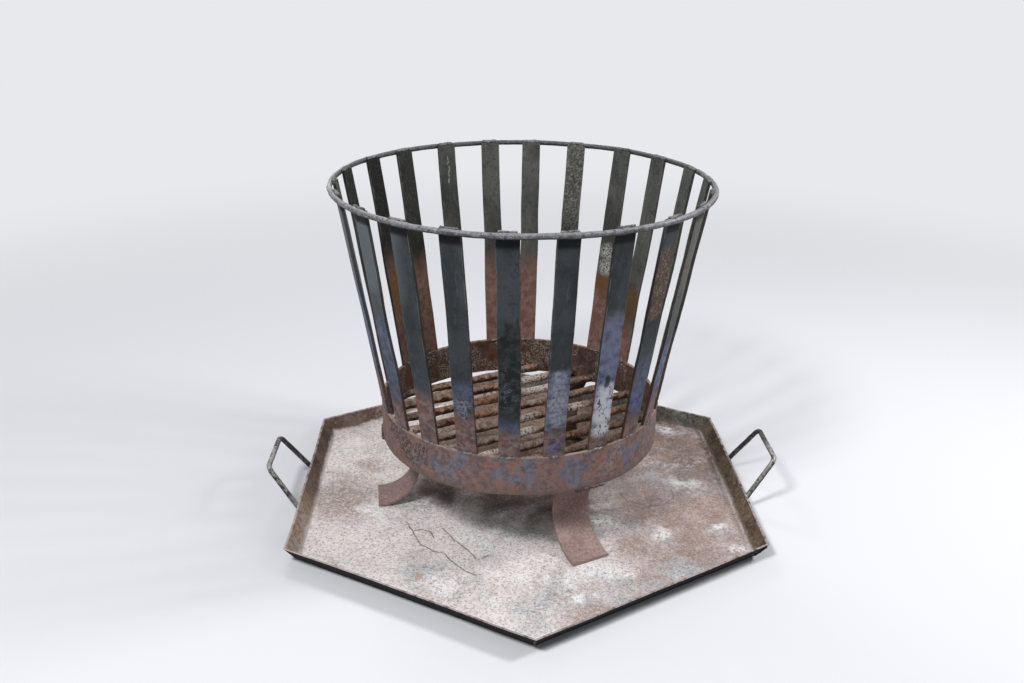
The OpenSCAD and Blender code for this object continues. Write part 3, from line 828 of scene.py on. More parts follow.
def tray_ash():
    """Folded sheet: pale ash on the floor over pinkish rust, brown walls and a near-black outside
    of soot and painted shade, with the basket's shadow painted on the floor.
    """
    f = Finish("tray_ash", 0.88, specular=0.25)
    ragged = f.wandering(0.045, 0.07)
    crooked = f.wandering(0.012, 0.005)
    broad = f.noise(0.12, 5, 0.6, 0.5)
    patches = f.noise(0.035, 6, 0.66, 0.4)
    mottle = f.noise(0.010, 6, 0.70)
    grain = f.noise(0.0040, 5, 0.70)
    speckle = f.noise(0.0032, 3, 0.60, shift=4.0)

    def spots(marks, strength=1.0):
        """Patches round points on the floor."""
        return f.times(f.most(*(
            f.spot(ragged, (x * MM, y * MM, TRAY_T), radius * MM, 0.8)
            for x, y, radius in marks)), strength)

    def on_floor(points):
        return [(x * MM, y * MM, TRAY_T) for x, y in points]

    right = f.step(f.plus(f.axis("X"), f.sway(broad, 0.6)), 0.0, 0.26)
    far = f.step(f.axis("Y"), -0.02, 0.12)
    swirls = f.step(f.noise(0.07, 6, 0.62, 1.6, shift=3.0), 0.50, 0.60)
    white = f.most(
        f.times(spots(WHITE_PATCHES), (patches, 0.40, 0.54), (mottle, 0.34, 0.50)),
        f.times((broad, 0.46, 0.34), (mottle, 0.46, 0.58), 0.6))
    # Rusty and free of ash behind the fire's middle
    behind_fire = f.most(
        f.spot(crooked, (AXIS_X, 0.15, TRAY_T), 0.22, 0.4),
        f.spot(crooked, (AXIS_X + 0.03, 0.29, TRAY_T), 0.17, 0.3))
    # Fine grains of ash and grit
    # Less pale grit where the painted shadow lies
    soot_and_shade = f.less(1.0, spots(PAINTED_SHADOW_PATCHES, 0.7))
    calm = f.less(1.0, f.times(right, 0.6))
    grit = f.times((speckle, 0.57, 0.65), 0.6)
    tinted = f.times((f.noise(0.06, 4, 0.6, shift=6.0), 0.52, 0.64), (speckle, 0.44, 0.36), 0.5)
    crack = f.most(*(f.line(crooked, on_floor(points), 1.5 * MM) for points in CRACKS))
    crack = f.times(crack, (mottle, 0.34, 0.44))
    mark = f.line(crooked, on_floor(RING_MARK), 2.4 * MM)
    floor = f.coats(
        f.blend((patches, 0.34, 0.66), (208, 200, 199), (223, 218, 218)),
        (f.blend((patches, 0.38, 0.62), (138, 117, 111), (168, 153, 149)), right, 0.8),
        ((100, 86, 80), right, far, 0.65),
        (f.blend((mottle, 0.42, 0.58), (138, 140, 144), (180, 182, 188)), right, swirls, 0.6),
        (f.blend((mottle, 0.4, 0.6), (124, 98, 88), (154, 130, 120)), spots(RUST_PATCHES, 0.6)),
        ((158, 141, 133), (broad, 0.52, 0.66), 0.35),
        ((160, 163, 168), spots(COOL_PATCHES), (patches, 0.40, 0.52), 0.7),
        # Painted shadow of the basket on the floor
        (f.blend((mottle, 0.4, 0.6), (28, 24, 21), (66, 57, 51)), spots(PAINTED_SHADOW_PATCHES, 0.95)),
        ((233, 231, 233), white, 0.9),
        (f.blend((mottle, 0.40, 0.60), (80, 61, 49), (134, 106, 88)), behind_fire, 0.9),
        ((236, 229, 225), (grain, 0.51, 0.62), 0.45, soot_and_shade, calm),
        ((134, 113, 103), (grain, 0.48, 0.39), 0.50),
        ((136, 114, 102), (mottle, 0.44, 0.34), 0.2),
        ((98, 84, 76), grit),
        ((200, 148, 108), tinted),
        ((194, 136, 84), spots(ORANGE_SPOTS), (grain, 0.40, 0.52), 0.8),
        ((124, 94, 76), crack, 0.8),
        ((104, 78, 68), mark, (grain, 0.42, 0.54), 0.6))

    front = f.step(f.plus(f.axis("Y"), f.sway(patches, 0.20)), 0.04, -0.12)
    left_side = f.step(f.axis("X"), -0.20, -0.28)
    right_side = f.step(f.axis("X"), 0.24, 0.32)
    behind = f.times((f.axis("Y"), 0.16, 0.22), (f.axis("X"), -0.1, 0.05))
    far_left = f.times((f.axis("Y"), 0.22, 0.28), (f.axis("X"), 0.0, -0.10))
    rising = f.plus(f.axis("Z"), f.sway(patches, 0.014), f.sway(mottle, 0.010))
    wall = f.coats(
        f.blend((patches, 0.4, 0.6), (82, 63, 54), (112, 94, 86)),
        (f.blend((mottle, 0.40, 0.58), (170, 140, 114), (208, 190, 178)), left_side, front, 0.85),
        (f.blend((patches, 0.40, 0.60), (74, 60, 46), (104, 88, 68)), right_side, 0.8),
        (f.blend((mottle, 0.42, 0.58), (84, 82, 74), (118, 119, 112)), behind, 0.8),
        (f.blend((mottle, 0.42, 0.58), (112, 90, 74), (150, 130, 116)), far_left, 0.75),
        ((146, 134, 124), (mottle, 0.50, 0.62), 0.25),
        ((54, 45, 38), (grain, 0.46, 0.36), 0.6),
        ((172, 165, 156), (grain, 0.58, 0.66), 0.5))
    crease = f.times(
        (f.axis("Z"), TRAY_T + 0.2 * MM, TRAY_T + 1.2 * MM),
        (f.axis("Z"), TRAY_T + 5 * MM, TRAY_T + 2 * MM))
    # Near-black outside: soot, and painted shade on the faces that look down and out
    outside = f.blend((mottle, 0.5, 0.7), (7, 6, 7), (26, 23, 22))
    facing_up = f.step(f.up(), -0.1, 0.1)
    inside = f.coats(
        f.mix(f.step(rising, 0.011, 0.004), wall, floor),
        ((206, 198, 192), crease, (mottle, 0.42, 0.54), 0.6))
    rim = f.step(f.axis("Z"), TRAY_H - 1.2 * MM, TRAY_H - 0.2 * MM)
    relief = f.plus(
        f.times(patches, 0.5), f.times(mottle, 0.5), f.times(grain, 0.7), f.times(speckle, 0.3),
        f.times(crack, -0.8), f.times(white, 0.3))
    colour = f.coats(
        f.mix(facing_up, outside, inside),
        ((178, 166, 168), rim, (mottle, 0.36, 0.54), 0.8))
    return f.done(colour, relief, 0.0014)


KEPT = {}


def once(name, make):
    """Makes a finish the first time that a piece asks for it."""
    def finish():
        if name not in KEPT:
            KEPT[name] = make()
        return KEPT[name]
    return finish


FINISHES = {make.__name__: once(make.__name__, make) for make in (
    slat_steel, ring_steel, band_rust, grate_ash, leg_rust, weld_metal, seam_metal, handle_steel,
    tray_ash)}


# ---- Settings ----

class FireBasketSettings(bpy.types.PropertyGroup):
    """Sizes and colours that a user would change."""
    dents: bpy.props.FloatProperty(
        name="Dents", description="Height of the dents and ripples in the bars",
        default=1.0 * MM, min=0.0, max=4 * MM, unit="LENGTH")
    lumps: bpy.props.FloatProperty(
        name="Weld lumps", description="Height of the lumps on the weld beads",
        default=2.2 * MM, min=0.0, max=5 * MM, unit="LENGTH")
    crust: bpy.props.FloatProperty(
        name="Ash crust", description="Height of the ash crust on the grate bars",
        default=2.2 * MM, min=0.0, max=4 * MM, unit="LENGTH")
    floor_colour: bpy.props.FloatVectorProperty(
        name="Floor", description="Colour of the studio floor",
        size=4, subtype="COLOR", default=paint(218, 218, 222), min=0.0, max=1.0)


# ---- Pieces ----

def flat_section(thickness, width):
    """A flat bar's section in the plane x, y, from x = 0 to its thickness, with rolled edges."""
    start_clear()
    bpy.ops.mesh.primitive_plane_add(size=1, location=(thickness / 2, 0, 0))
    piece = bpy.context.object
    piece.scale = (thickness, width, 1)
    bpy.ops.object.transform_apply(location=True, rotation=True, scale=True)
    with editing(piece):
        bpy.ops.mesh.bevel(offset=EDGE_R, segments=3, affect="VERTICES")
    return piece


def unwrap_bar(piece):
    """Lays the sides of a bar along Z next to each other: outer face, edge, inner face, edge."""
    layer = piece.data.uv_layers.new(name="unwrapped")
    for polygon in piece.data.polygons:
        normal = polygon.normal
        for loop in polygon.loop_indices:
            point = piece.data.vertices[piece.data.loops[loop].vertex_index].co
            if normal.x > 0.5:
                u = point.y
            elif normal.x < -0.5:
                u = FACE_STEP - point.y
            elif normal.y > 0:
                u = 0.5 * FACE_STEP
            else:
                u = 1.5 * FACE_STEP
            layer.data[loop].uv = (u, point.z)


def slat_frame():
    """Where a slat's outer face meets the ring and the band, and how far it leans."""
    guess = math.atan((RING_R - RING_BAR / 2 - BAND_R) / (RING_Z - BAND_TOP))
    edge = RING_R - (RING_BAR / 2 + RING_GAP) / math.cos(guess)
    head = math.sqrt(edge ** 2 - (SLAT_W / 2) ** 2)
    foot = math.sqrt(BAND_R ** 2 - (SLAT_W / 2) ** 2)
    return head, foot, math.atan((head - foot) / (RING_Z - BAND_TOP))


class FIREBASKET_OT_slats(bpy.types.Operator):
    """Adds the slats of flat bar that stand on the band and lean out to the ring"""
    bl_idname = "mesh.fire_basket_slats"
    bl_label = "Slats"

    def execute(self, context):
        head, foot, lean = slat_frame()
        below = 2 * BAR_T
        run = (RING_Z - BAND_TOP) / math.cos(lean)
        end = SLAT_TIP / math.cos(lean)
        slat = flat_section(BAR_T, SLAT_W)
        with editing(slat):
            bpy.ops.mesh.extrude_region_move(
                TRANSFORM_OT_translate={"value": (0, 0, run + end + below)})
            pick(slat, "EDGE", lambda edge: along(edge, 1) and edge.calc_length() > SLAT_W / 2)
            bpy.ops.mesh.subdivide(number_cuts=SLAT_CUTS["across"])
            pick(slat, "EDGE", lambda edge: along(edge, 2))
            bpy.ops.mesh.subdivide(number_cuts=SLAT_CUTS["along"])
        # The origin moves to the outer face at the height of the ring, where the slat is turned
        settle(slat, Matrix.Translation((-BAR_T, 0, -run - below)))
        outward(slat)
        unwrap_bar(slat)
        rise = RING_Z - BAND_TOP
        dents = context.scene.fire_basket.dents
        for number in range(1, SLAT_COUNT + 1):
            at_ring, at_band = SLAT_SETS[number - 1]
            turn = SLAT_TURN + (number - 1) * SLAT_STEP + at_ring
            skew = math.asin(foot * math.sin(math.radians(at_band - at_ring)) / run)
            piece = copy_of(
                slat, f"slat_bar_{number:02d}",
                round_basket(turn) @ Matrix.Translation((head, 0, RING_Z))
                @ Matrix.Rotation(lean, 4, "Y") @ Matrix.Rotation(skew, 4, "X"))
            with editing(piece):
                bpy.ops.mesh.bisect(
                    plane_co=(0, 0, BAND_TOP), plane_no=(0, 0, 1), use_fill=True, clear_inner=True)
            for name, value in zip(WEAR, SLAT_WEAR[number]):
                layer = piece.data.attributes.new(name, "FLOAT", "POINT")
                layer.data.foreach_set("value", [value] * len(piece.data.vertices))
            bow = weigh(piece, "bow", lambda point: math.sin(
                math.pi * min(1, max(0, (point.z - BAND_TOP) / rise))))
            roughen(piece, 0.12, 4.0 * dents, "X", bow, 1)
            roughen(piece, 0.10, 4.0 * dents, "Y", bow, 1)
            roughen(piece, 0.014, 0.45 * dents, "NORMAL", bow)
            smooth(piece)
            dress(piece, "slat_steel", "basket", "slat_steel", f"slat_{number:02d}")
        bpy.data.objects.remove(slat)
        return {"FINISHED"}


def near_slat(point):
    """How near a point of the ring lies to a slat's head, from 0 to 1."""
    turn = math.degrees(math.atan2(point.y, point.x - AXIS_X))
    away = min(
        abs((turn - SLAT_TURN - k * SLAT_STEP - SLAT_SETS[k][0] + 180) % 360 - 180)
        for k in range(SLAT_COUNT))
    return 1 - max(0.0, away - 2) / 2.5


def near_joint(point):
    """How near a point of the ring lies to one of the ring's joints, from 0 to 1."""
    return max(1 - (point - Vector(on_ring(turn))).length / reach for turn, reach in RING_ENDS)


class FIREBASKET_OT_ring(bpy.types.Operator):
    """Adds the ring of round bar at the top"""
    bl_idname = "mesh.fire_basket_ring"
    bl_label = "Top ring"

    def execute(self, context):
        start_clear()
        bpy.ops.mesh.primitive_torus_add(
            location=(AXIS_X, 0, RING_Z), major_segments=RING_STEPS["round"],
            minor_segments=RING_STEPS["bar"], major_radius=RING_R, minor_radius=RING_BAR / 2,
            generate_uvs=False)
        piece = bpy.context.object
        bpy.ops.object.transform_apply(location=True, rotation=True, scale=True)
        piece.name = "ring_hoop"
        dents = context.scene.fire_basket.dents
        roughen(piece, 0.10, 1.6 * dents, "Z", depth=1)
        roughen(piece, 0.012, 0.7 * dents)
        heads = weigh(piece, "heads", near_slat)
        roughen(piece, 0.009, 2.6 * dents, "NORMAL", heads)
        ends = weigh(piece, "ends", near_joint)
        roughen(piece, 0.010, 5.0 * dents, "NORMAL", ends)
        smooth(piece, 60)
        dress(piece, "ring_steel", "basket", "ring_steel", "top_ring")
        return {"FINISHED"}


class FIREBASKET_OT_band(bpy.types.Operator):
    """Adds the band of flat bar, rolled to a hoop"""
    bl_idname = "mesh.fire_basket_band"
    bl_label = "Base band"

    def execute(self, context):
        piece = flat_section(BAR_T, BAND_TOP - BAND_Z)
        piece.name = "band_hoop"
        with editing(piece):
            pick(piece, "EDGE", lambda edge: edge.calc_length() > LONG_EDGE)
            bpy.ops.mesh.subdivide(number_cuts=BAND_STEPS["up"])
            pick(piece, "EDGE", lambda edge: len(edge.link_faces) == 2)
            bpy.ops.mesh.dissolve_edges(use_verts=False)
            bpy.ops.mesh.select_all(action="SELECT")
            bpy.ops.mesh.delete(type="ONLY_FACE")
        settle(piece, Matrix.Translation((AXIS_X + BAND_R - BAR_T, 0, (BAND_Z + BAND_TOP) / 2))
               @ Matrix.Rotation(math.radians(90), 4, "X"))
        with editing(piece):
            bpy.ops.mesh.spin(
                steps=BAND_STEPS["round"], angle=math.radians(360), center=(AXIS_X, 0, 0),
                axis=(0, 0, 1))
        outward(piece)
        dents = context.scene.fire_basket.dents
        roughen(piece, 0.09, 1.6 * dents, "X", depth=1)
        roughen(piece, 0.08, 1.6 * dents, "Y", depth=1)
        roughen(piece, 0.010, 0.7 * dents)
        smooth(piece)
        dress(piece, "band_rust", "basket", "band_rust", "base_band")
        return {"FINISHED"}


class FIREBASKET_OT_grate(bpy.types.Operator):
    """Adds the round bars of the grate, coped to the band and crusted with ash"""
    bl_idname = "mesh.fire_basket_grate"
    bl_label = "Grate bars"

    def execute(self, context):
        inner_r = BAND_R - BAR_T
        start_clear()
        bpy.ops.mesh.primitive_cylinder_add(
            vertices=GRATE_STEPS["bar"], radius=GRATE_BAR / 2, depth=2 * inner_r,
            location=(0, 0, 0), rotation=(0, math.radians(90), 0))
        bar = bpy.context.object
        bpy.ops.object.transform_apply(location=True, rotation=True, scale=True)
        with editing(bar):
            pick(bar, "EDGE", lambda edge: along(edge, 0))
            bpy.ops.mesh.subdivide(number_cuts=GRATE_STEPS["along"])
        bpy.ops.mesh.primitive_cylinder_add(
            vertices=180, radius=inner_r, depth=10 * GRATE_BAR, location=(AXIS_X, 0, GRATE_Z))
        within = bpy.context.object
        bpy.ops.object.transform_apply(location=True, rotation=True, scale=True)
        for number in range(1, GRATE_COUNT + 1):
            offset = (number - (GRATE_COUNT + 1) / 2) * GRATE_PITCH
            piece = copy_of(bar, f"grate_rod_{number:02d}", round_basket(GRATE_TURN)
                            @ Matrix.Translation((0, offset, GRATE_Z)))
            apply_modifier(piece, "BOOLEAN", operation="INTERSECT", object=within, solver="EXACT")
            crust = context.scene.fire_basket.crust
            roughen(piece, 0.06, 1.2 * crust, "Z", depth=1)
            roughen(piece, 0.020, 1.2 * crust, middle=0.25)
            roughen(piece, 0.006, 0.4 * crust)
            smooth(piece)
            dress(piece, "grate_ash", "basket", "grate_ash", f"grate_bar_{number:02d}")
        bpy.data.objects.remove(bar)
        bpy.data.objects.remove(within)
        return {"FINISHED"}


class FIREBASKET_OT_legs(bpy.types.Operator):
    """Adds the three legs of flat bar, bent to a half circle"""
    bl_idname = "mesh.fire_basket_legs"
    bl_label = "Legs"

    def execute(self, context):
        leg = flat_section(BAR_T, LEG_W)
        with editing(leg):
            pick(leg, "EDGE", lambda edge: edge.calc_length() > LONG_EDGE)
            bpy.ops.mesh.subdivide(number_cuts=LEG_STEPS["across"])
        # The section stands upright at the toe, its thickness up from the sole
        settle(leg, Matrix.Translation((LEG_REACH + LEG_TOE, 0, SOLE_Z))
               @ Matrix.Rotation(math.radians(-90), 4, "Y"))
        with editing(leg):
            bpy.ops.mesh.extrude_region_move(TRANSFORM_OT_translate={"value": (-LEG_TOE, 0, 0)})
            bpy.ops.mesh.spin(
                steps=LEG_STEPS["bend"], angle=math.radians(-180), center=(LEG_REACH, 0, LEG_Z),
                axis=(0, 1, 0))
            bpy.ops.mesh.select_all(action="SELECT")
            bpy.ops.mesh.bisect(
                plane_co=(0, 0, BAND_Z), plane_no=(0, 0, 1), use_fill=True, clear_outer=True)
        outward(leg)
        for name, turn in LEG_TURNS.items():
            piece = copy_of(leg, f"leg_strap_{name}", round_basket(turn))
            dents = context.scene.fire_basket.dents
            roughen(piece, 0.05, 0.8 * dents, depth=1)
            roughen(piece, 0.008, 0.5 * dents)
            smooth(piece)
            dress(piece, "leg_rust", "basket", "leg_rust", f"leg_{name}")
        bpy.data.objects.remove(leg)
        return {"FINISHED"}


def tray_flat():
    """How far the tray's flat floor reaches out from its middle, up to where the fold starts."""
    foot = RIM_A - TRAY_H * math.tan(TRAY_LEAN)
    return foot - TRAY_FOLD * math.tan((math.pi / 2 - TRAY_LEAN) / 2)


class FIREBASKET_OT_tray(bpy.types.Operator):
    """Adds the six-sided tray of folded sheet"""
    bl_idname = "mesh.fire_basket_tray"
    bl_label = "Ash tray"

    def execute(self, context):
        fold_a = tray_flat()

        def section(inset):
            """How far out and how high a surface of the sheet lies, from the fold to the rim."""
            radius = TRAY_FOLD - inset
            steps = TRAY_STEPS["fold"]
            turns = [k / steps * (math.pi / 2 - TRAY_LEAN) for k in range(steps + 1)]
            rows = [(fold_a + radius * math.sin(turn), TRAY_FOLD - radius * math.cos(turn))
                    for turn in turns]
            out, high = rows[-1]
            for k in range(1, TRAY_STEPS["wall"] + 1):
                level = high + (TRAY_H - high) * k / TRAY_STEPS["wall"]
                rows.append((out + (level - high) * math.tan(TRAY_LEAN), level))
            return rows

        outer, inner = section(0), section(TRAY_T)
        start_clear()
        bpy.ops.mesh.primitive_circle_add(
            vertices=6, radius=fold_a / math.cos(math.radians(30)), fill_type="TRIFAN")
        piece = bpy.context.object
        piece.name = "tray_sheet"
        with editing(piece):
            bpy.ops.mesh.subdivide(number_cuts=TRAY_STEPS["floor"])
            bpy.ops.mesh.duplicate_move(TRANSFORM_OT_translate={"value": (0, 0, TRAY_T)})
            pick(piece, "EDGE", lambda edge: edge.is_boundary and edge.verts[0].co.z < TRAY_T / 2)
            rows = outer + inner[:0:-1]
            for (a, level), (next_a, next_level) in zip(rows, rows[1:] + [inner[0]]):
                bpy.ops.mesh.extrude_region_move(
                    TRANSFORM_OT_translate={"value": (0, 0, next_level - level)})
                bpy.ops.transform.resize(
                    value=(next_a / a, next_a / a, 1), center_override=(0, 0, 0))
        outward(piece)
        wall = weigh(piece, "wall", lambda point: point.z / TRAY_H)
        top = weigh(piece, "top", lambda point: (
            1.0 if abs(point.z - TRAY_T) < 0.1 * MM else 0.0))
        roughen(piece, 0.16, 5 * MM, "X", wall, 1)
        roughen(piece, 0.18, 5 * MM, "Y", wall, 1)
        roughen(piece, 0.15, 2.5 * MM, "Z", wall, 1)
        roughen(piece, 0.012, 0.5 * MM, "Z", top)
        smooth(piece)
        dress(piece, "tray_ash", "tray", "tray_ash", "tray_pan")
        return {"FINISHED"}


class FIREBASKET_OT_handles(bpy.types.Operator):
    """Adds the tray's two handles of bent round bar"""
    bl_idname = "mesh.fire_basket_handles"
    bl_label = "Tray handles"

    def execute(self, context):
        fold_a = tray_flat()
        reach_out = fold_a + (TRAY_FOLD + HANDLE_BAR / 2) * math.cos(TRAY_LEAN)
        reach_up = TRAY_FOLD - (TRAY_FOLD + HANDLE_BAR / 2) * math.sin(TRAY_LEAN)
        wall_l = (TRAY_H - TRAY_FOLD * (1 - math.sin(TRAY_LEAN))) / math.cos(TRAY_LEAN)
        splay = math.atan((HANDLE_FOOT - HANDLE_GRIP) / 2 / HANDLE_REACH)
        turn = math.pi / 2 - splay
        cut = HANDLE_BEND * math.tan(turn / 2)
        grip = HANDLE_GRIP / 2 - cut
        run = (HANDLE_REACH + HANDLE_LAP) / math.cos(splay) - cut
        top = wall_l + HANDLE_REACH
        start_clear()
        bpy.ops.mesh.primitive_circle_add(
            vertices=HANDLE_STEPS["bar"], radius=HANDLE_BAR / 2, location=(0, 0, top),
            rotation=(math.radians(-90), 0, 0), fill_type="NGON")
        rod = bpy.context.object
        bpy.ops.object.transform_apply(location=True, rotation=True, scale=True)
        with editing(rod):
            pace = (0, grip / HANDLE_STEPS["grip"], 0)
            for _ in range(HANDLE_STEPS["grip"]):
                bpy.ops.mesh.extrude_region_move(TRANSFORM_OT_translate={"value": pace})
            bpy.ops.mesh.spin(
                steps=HANDLE_STEPS["bend"], angle=turn, center=(0, grip, top - HANDLE_BEND),
                axis=(1, 0, 0))
            pace = Vector((0, math.sin(splay), -math.cos(splay))) * run / HANDLE_STEPS["arm"]
            for _ in range(HANDLE_STEPS["arm"]):
                bpy.ops.mesh.extrude_region_move(TRANSFORM_OT_translate={"value": pace})
            pick(rod, "FACE", lambda face: abs(face.calc_center_median().y) < SEAM)
            bpy.ops.mesh.delete(type="ONLY_FACE")
        apply_modifier(
            rod, "MIRROR", use_axis=(False, True, False), use_clip=True, merge_threshold=5 * SEAM)
        outward(rod)
        lay = Matrix.Translation((reach_out, 0, reach_up)) @ Matrix.Rotation(TRAY_LEAN, 4, "Y")
        for side, angle in (("right", 0), ("left", math.pi)):
            spin = Matrix.Translation((0, HANDLE_SHIFT[side], 0)) @ Matrix.Rotation(angle, 4, "Z")
            piece = copy_of(rod, f"handle_rod_{side}", spin @ lay)
            dents = context.scene.fire_basket.dents
            roughen(piece, 0.05, 1.6 * dents, "Z", depth=1)
            roughen(piece, 0.007, 0.4 * dents)
            smooth(piece, 60)
            dress(piece, "handle_steel", "tray", "handle_steel", f"tray_handle_{side}")
        bpy.data.objects.remove(rod)
        return {"FINISHED"}


def beads_like(node, name, finish, body, voxel, size, height):
    """Lumpy weld beads over a node's plain ones."""
    start_clear()
    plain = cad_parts[node]
    piece = plain.copy()
    piece.data = plain.data.copy()
    for key in list(piece.keys()):
        del piece[key]
    piece.parent = None
    piece.matrix_world = Matrix.Identity(4)
    piece.name = piece.data.name = name
    bpy.context.collection.objects.link(piece)
    outward(piece)
    apply_modifier(piece, "REMESH", mode="VOXEL", voxel_size=voxel, adaptivity=0.0)
    roughen(piece, size, height)
    roughen(piece, size / 3, height / 3)
    smooth(piece, 70)
    dress(piece, finish, body, "weld", node)


# Node, name, finish and body of each set of beads, how finely they are rebuilt, the size of their
# lumps and the share of the lumps' full height
WELD_BEADS = (
    ("ring_welds", "beads_on_ring", "weld_metal", "basket", 0.9 * MM, 7 * MM, 1.2),
    ("slat_foot_welds", "beads_on_feet", "weld_metal", "basket", 0.9 * MM, 5 * MM, 1.0),
    ("grate_welds", "beads_on_grate", "seam_metal", "basket", 1.0 * MM, 6 * MM, 1.0),
    ("leg_welds", "beads_on_legs", "seam_metal", "basket", 0.9 * MM, 6 * MM, 1.0),
    ("tray_corner_welds", "beads_on_corners", "seam_metal", "tray", 0.8 * MM, 4 * MM, 0.5),
    ("handle_welds", "beads_on_handles", "weld_metal", "tray", 0.6 * MM, 4 * MM, 0.6),
)


class FIREBASKET_OT_welds(bpy.types.Operator):
    """Adds the lumpy weld beads of the basket and the tray"""
    bl_idname = "mesh.fire_basket_welds"
    bl_label = "Weld beads"

    def execute(self, context):
        for *beads, share in WELD_BEADS:
            beads_like(*beads, share * context.scene.fire_basket.lumps)
        return {"FINISHED"}


# ---- Stage ----

BACKDROP = paint(232, 233, 236)
SKY_COLOUR = (0.92, 0.95, 1.0, 1.0)
SKY_LIGHT = 0.26
# How far out the floor starts to turn to the backdrop's colour, and where it has
FLOOR_NEAR, FLOOR_FAR = 0.7, 2.4
FLOOR_SIZE = 60
# Name, place, width and power of each soft light, and the point that they all face
LIGHTS = (
    ("key_light", (-1.1, -1.5, 2.4), 0.55, 62),
    ("side_light", (1.8, 0.0, 1.6), 0.5, 32),
    ("back_light", (-0.7, 2.0, 1.9), 0.8, 14),
)
LIT_POINT = (0, 0, 0.25)
# The camera's place, the way it looks, its right-hand side, its roll in degrees and its lens
CAMERA_PLACE = (-0.06886, -1.42696, 0.86718)
CAMERA_VIEW = (0.0310, 0.9210, -0.3882)
CAMERA_SIDE = (0.99943, -0.03368, 0.0)
CAMERA_ROLL = 0.719
CAMERA_LENS = 35.21
CAMERA_SENSOR = 36


def seen_directly(nodes):
    """1 for what the camera, a reflection or clear glass sees, and 0 for light on the object."""
    paths = nodes.add("ShaderNodeLightPath").outputs
    seen = paths["Is Camera Ray"]
    for name in ("Is Glossy Ray", "Is Transmission Ray"):
        most = nodes.add("ShaderNodeMath", {0: seen, 1: paths[name]}, operation="MAXIMUM")
        seen = most.outputs[0]
    return seen


def studio_floor(colour):
    """A matt floor that keeps its shadows near by and turns to the backdrop's colour far off."""
    material = bpy.data.materials.new("studio_floor")
    material.use_nodes = True
    nodes = Nodes(material.node_tree)
    shader = nodes.tree.nodes["Principled BSDF"]
    nodes.feed(shader.inputs["Base Color"], colour)
    nodes.feed(shader.inputs["Roughness"], 0.9)
    backdrop = nodes.add("ShaderNodeEmission", {"Color": BACKDROP})
    place = nodes.add("ShaderNodeTexCoord").outputs["Object"]
    away = nodes.add("ShaderNodeVectorMath", {0: place}, operation="LENGTH").outputs["Value"]
    far = nodes.add("ShaderNodeMapRange", {
        "Value": away, "From Min": FLOOR_NEAR, "From Max": FLOOR_FAR,
    }, interpolation_type="SMOOTHSTEP").outputs["Result"]
    share = nodes.add("ShaderNodeMath", {0: far, 1: seen_directly(nodes)}, operation="MULTIPLY")
    mix = nodes.add("ShaderNodeMixShader", {
        0: share.outputs[0], 1: shader.outputs[0], 2: backdrop.outputs[0]})
    nodes.feed(nodes.tree.nodes["Material Output"].inputs["Surface"], mix.outputs[0])
    return material


def studio_sky():
    """A cool, soft light from all round, with the backdrop's colour where it is seen."""
    world = bpy.data.worlds.new("studio_sky")
    world.use_nodes = True
    world.node_tree.nodes.clear()
    nodes = Nodes(world.node_tree)
    light = nodes.add("ShaderNodeBackground", {"Color": SKY_COLOUR, "Strength": SKY_LIGHT})
    seen = nodes.add("ShaderNodeBackground", {"Color": BACKDROP, "Strength": 1.0})
    share = nodes.add("ShaderNodeMixShader", {
        0: seen_directly(nodes), 1: light.outputs[0], 2: seen.outputs[0]})
    nodes.add("ShaderNodeOutputWorld", {"Surface": share.outputs[0]})
    return world


def soft_light(name, place, size, power):
    bpy.ops.object.light_add(type="AREA", location=place)
    lamp = bpy.context.object
    lamp.name = name
    lamp.data.shape = "DISK"
    lamp.data.size = size
    lamp.data.energy = power
    lamp.rotation_euler = (Vector(LIT_POINT) - Vector(place)).to_track_quat("-Z", "Y").to_euler()


def photo_camera():
    """The camera where the photograph was taken from."""
    bpy.ops.object.camera_add(location=CAMERA_PLACE)
    camera = bpy.context.object
    camera.name = "photo_camera"
    view = Vector(CAMERA_VIEW).normalized()
    side = Vector(CAMERA_SIDE).normalized()
    over = side.cross(view)
    roll = math.radians(CAMERA_ROLL)
    side, over = (math.cos(roll) * side + math.sin(roll) * over,
                  math.cos(roll) * over - math.sin(roll) * side)
    camera.matrix_world = Matrix.Translation(camera.location) @ Matrix(
        (side, over, -view)).transposed().to_4x4()
    camera.data.sensor_width = CAMERA_SENSOR
    camera.data.lens = CAMERA_LENS
    return camera


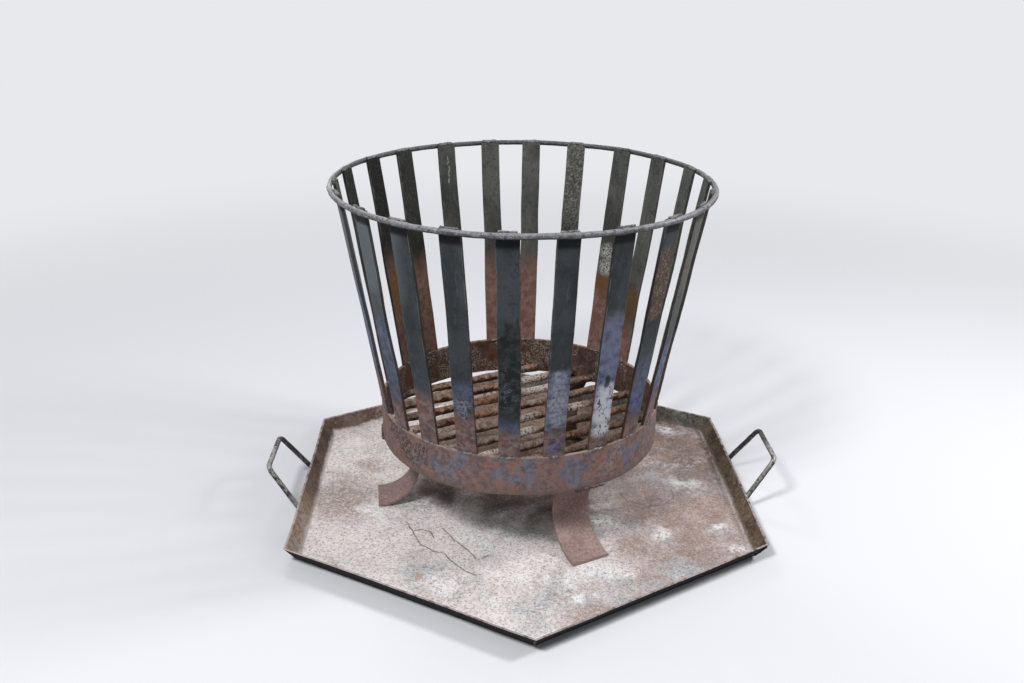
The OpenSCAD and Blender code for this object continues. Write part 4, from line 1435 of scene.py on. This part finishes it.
class FIREBASKET_OT_stage(bpy.types.Operator):
    """Adds the pale floor, the soft lights and the camera"""
    bl_idname = "mesh.fire_basket_stage"
    bl_label = "Studio stage"

    def execute(self, context):
        start_clear()
        bpy.ops.mesh.primitive_plane_add(size=FLOOR_SIZE, location=(0, 0, 0))
        floor = bpy.context.object
        floor.name = "studio_floor"
        floor.data.materials.append(studio_floor(context.scene.fire_basket.floor_colour))
        context.scene.world = studio_sky()
        for light in LIGHTS:
            soft_light(*light)
        context.scene.camera = photo_camera()
        context.scene.view_settings.view_transform = "Standard"
        return {"FINISHED"}


class FIREBASKET_PT_panel(bpy.types.Panel):
    """Lists the pieces in the 3D view's sidebar"""
    bl_label = "Fire basket"
    bl_idname = "FIREBASKET_PT_panel"
    bl_space_type = "VIEW_3D"
    bl_region_type = "UI"
    bl_category = "Fire basket"

    def draw(self, context):
        settings = context.scene.fire_basket
        for name in ("dents", "lumps", "crust", "floor_colour"):
            self.layout.prop(settings, name)
        for piece in PIECES:
            self.layout.operator(piece.bl_idname)


PIECES = (
    FIREBASKET_OT_tray, FIREBASKET_OT_handles, FIREBASKET_OT_legs, FIREBASKET_OT_band,
    FIREBASKET_OT_grate, FIREBASKET_OT_slats, FIREBASKET_OT_ring, FIREBASKET_OT_welds,
    FIREBASKET_OT_stage,
)


def register():
    for kind in (FireBasketSettings, *PIECES, FIREBASKET_PT_panel):
        bpy.utils.register_class(kind)
    bpy.types.Scene.fire_basket = bpy.props.PointerProperty(type=FireBasketSettings)


def unregister():
    del bpy.types.Scene.fire_basket
    for kind in reversed((FireBasketSettings, *PIECES, FIREBASKET_PT_panel)):
        bpy.utils.unregister_class(kind)


def main():
    register()
    bpy.ops.mesh.fire_basket_tray()
    bpy.ops.mesh.fire_basket_handles()
    bpy.ops.mesh.fire_basket_legs()
    bpy.ops.mesh.fire_basket_band()
    bpy.ops.mesh.fire_basket_grate()
    bpy.ops.mesh.fire_basket_slats()
    bpy.ops.mesh.fire_basket_ring()
    bpy.ops.mesh.fire_basket_welds()
    bpy.ops.mesh.fire_basket_stage()
    start_clear()


if __name__ == "__main__":
    main()
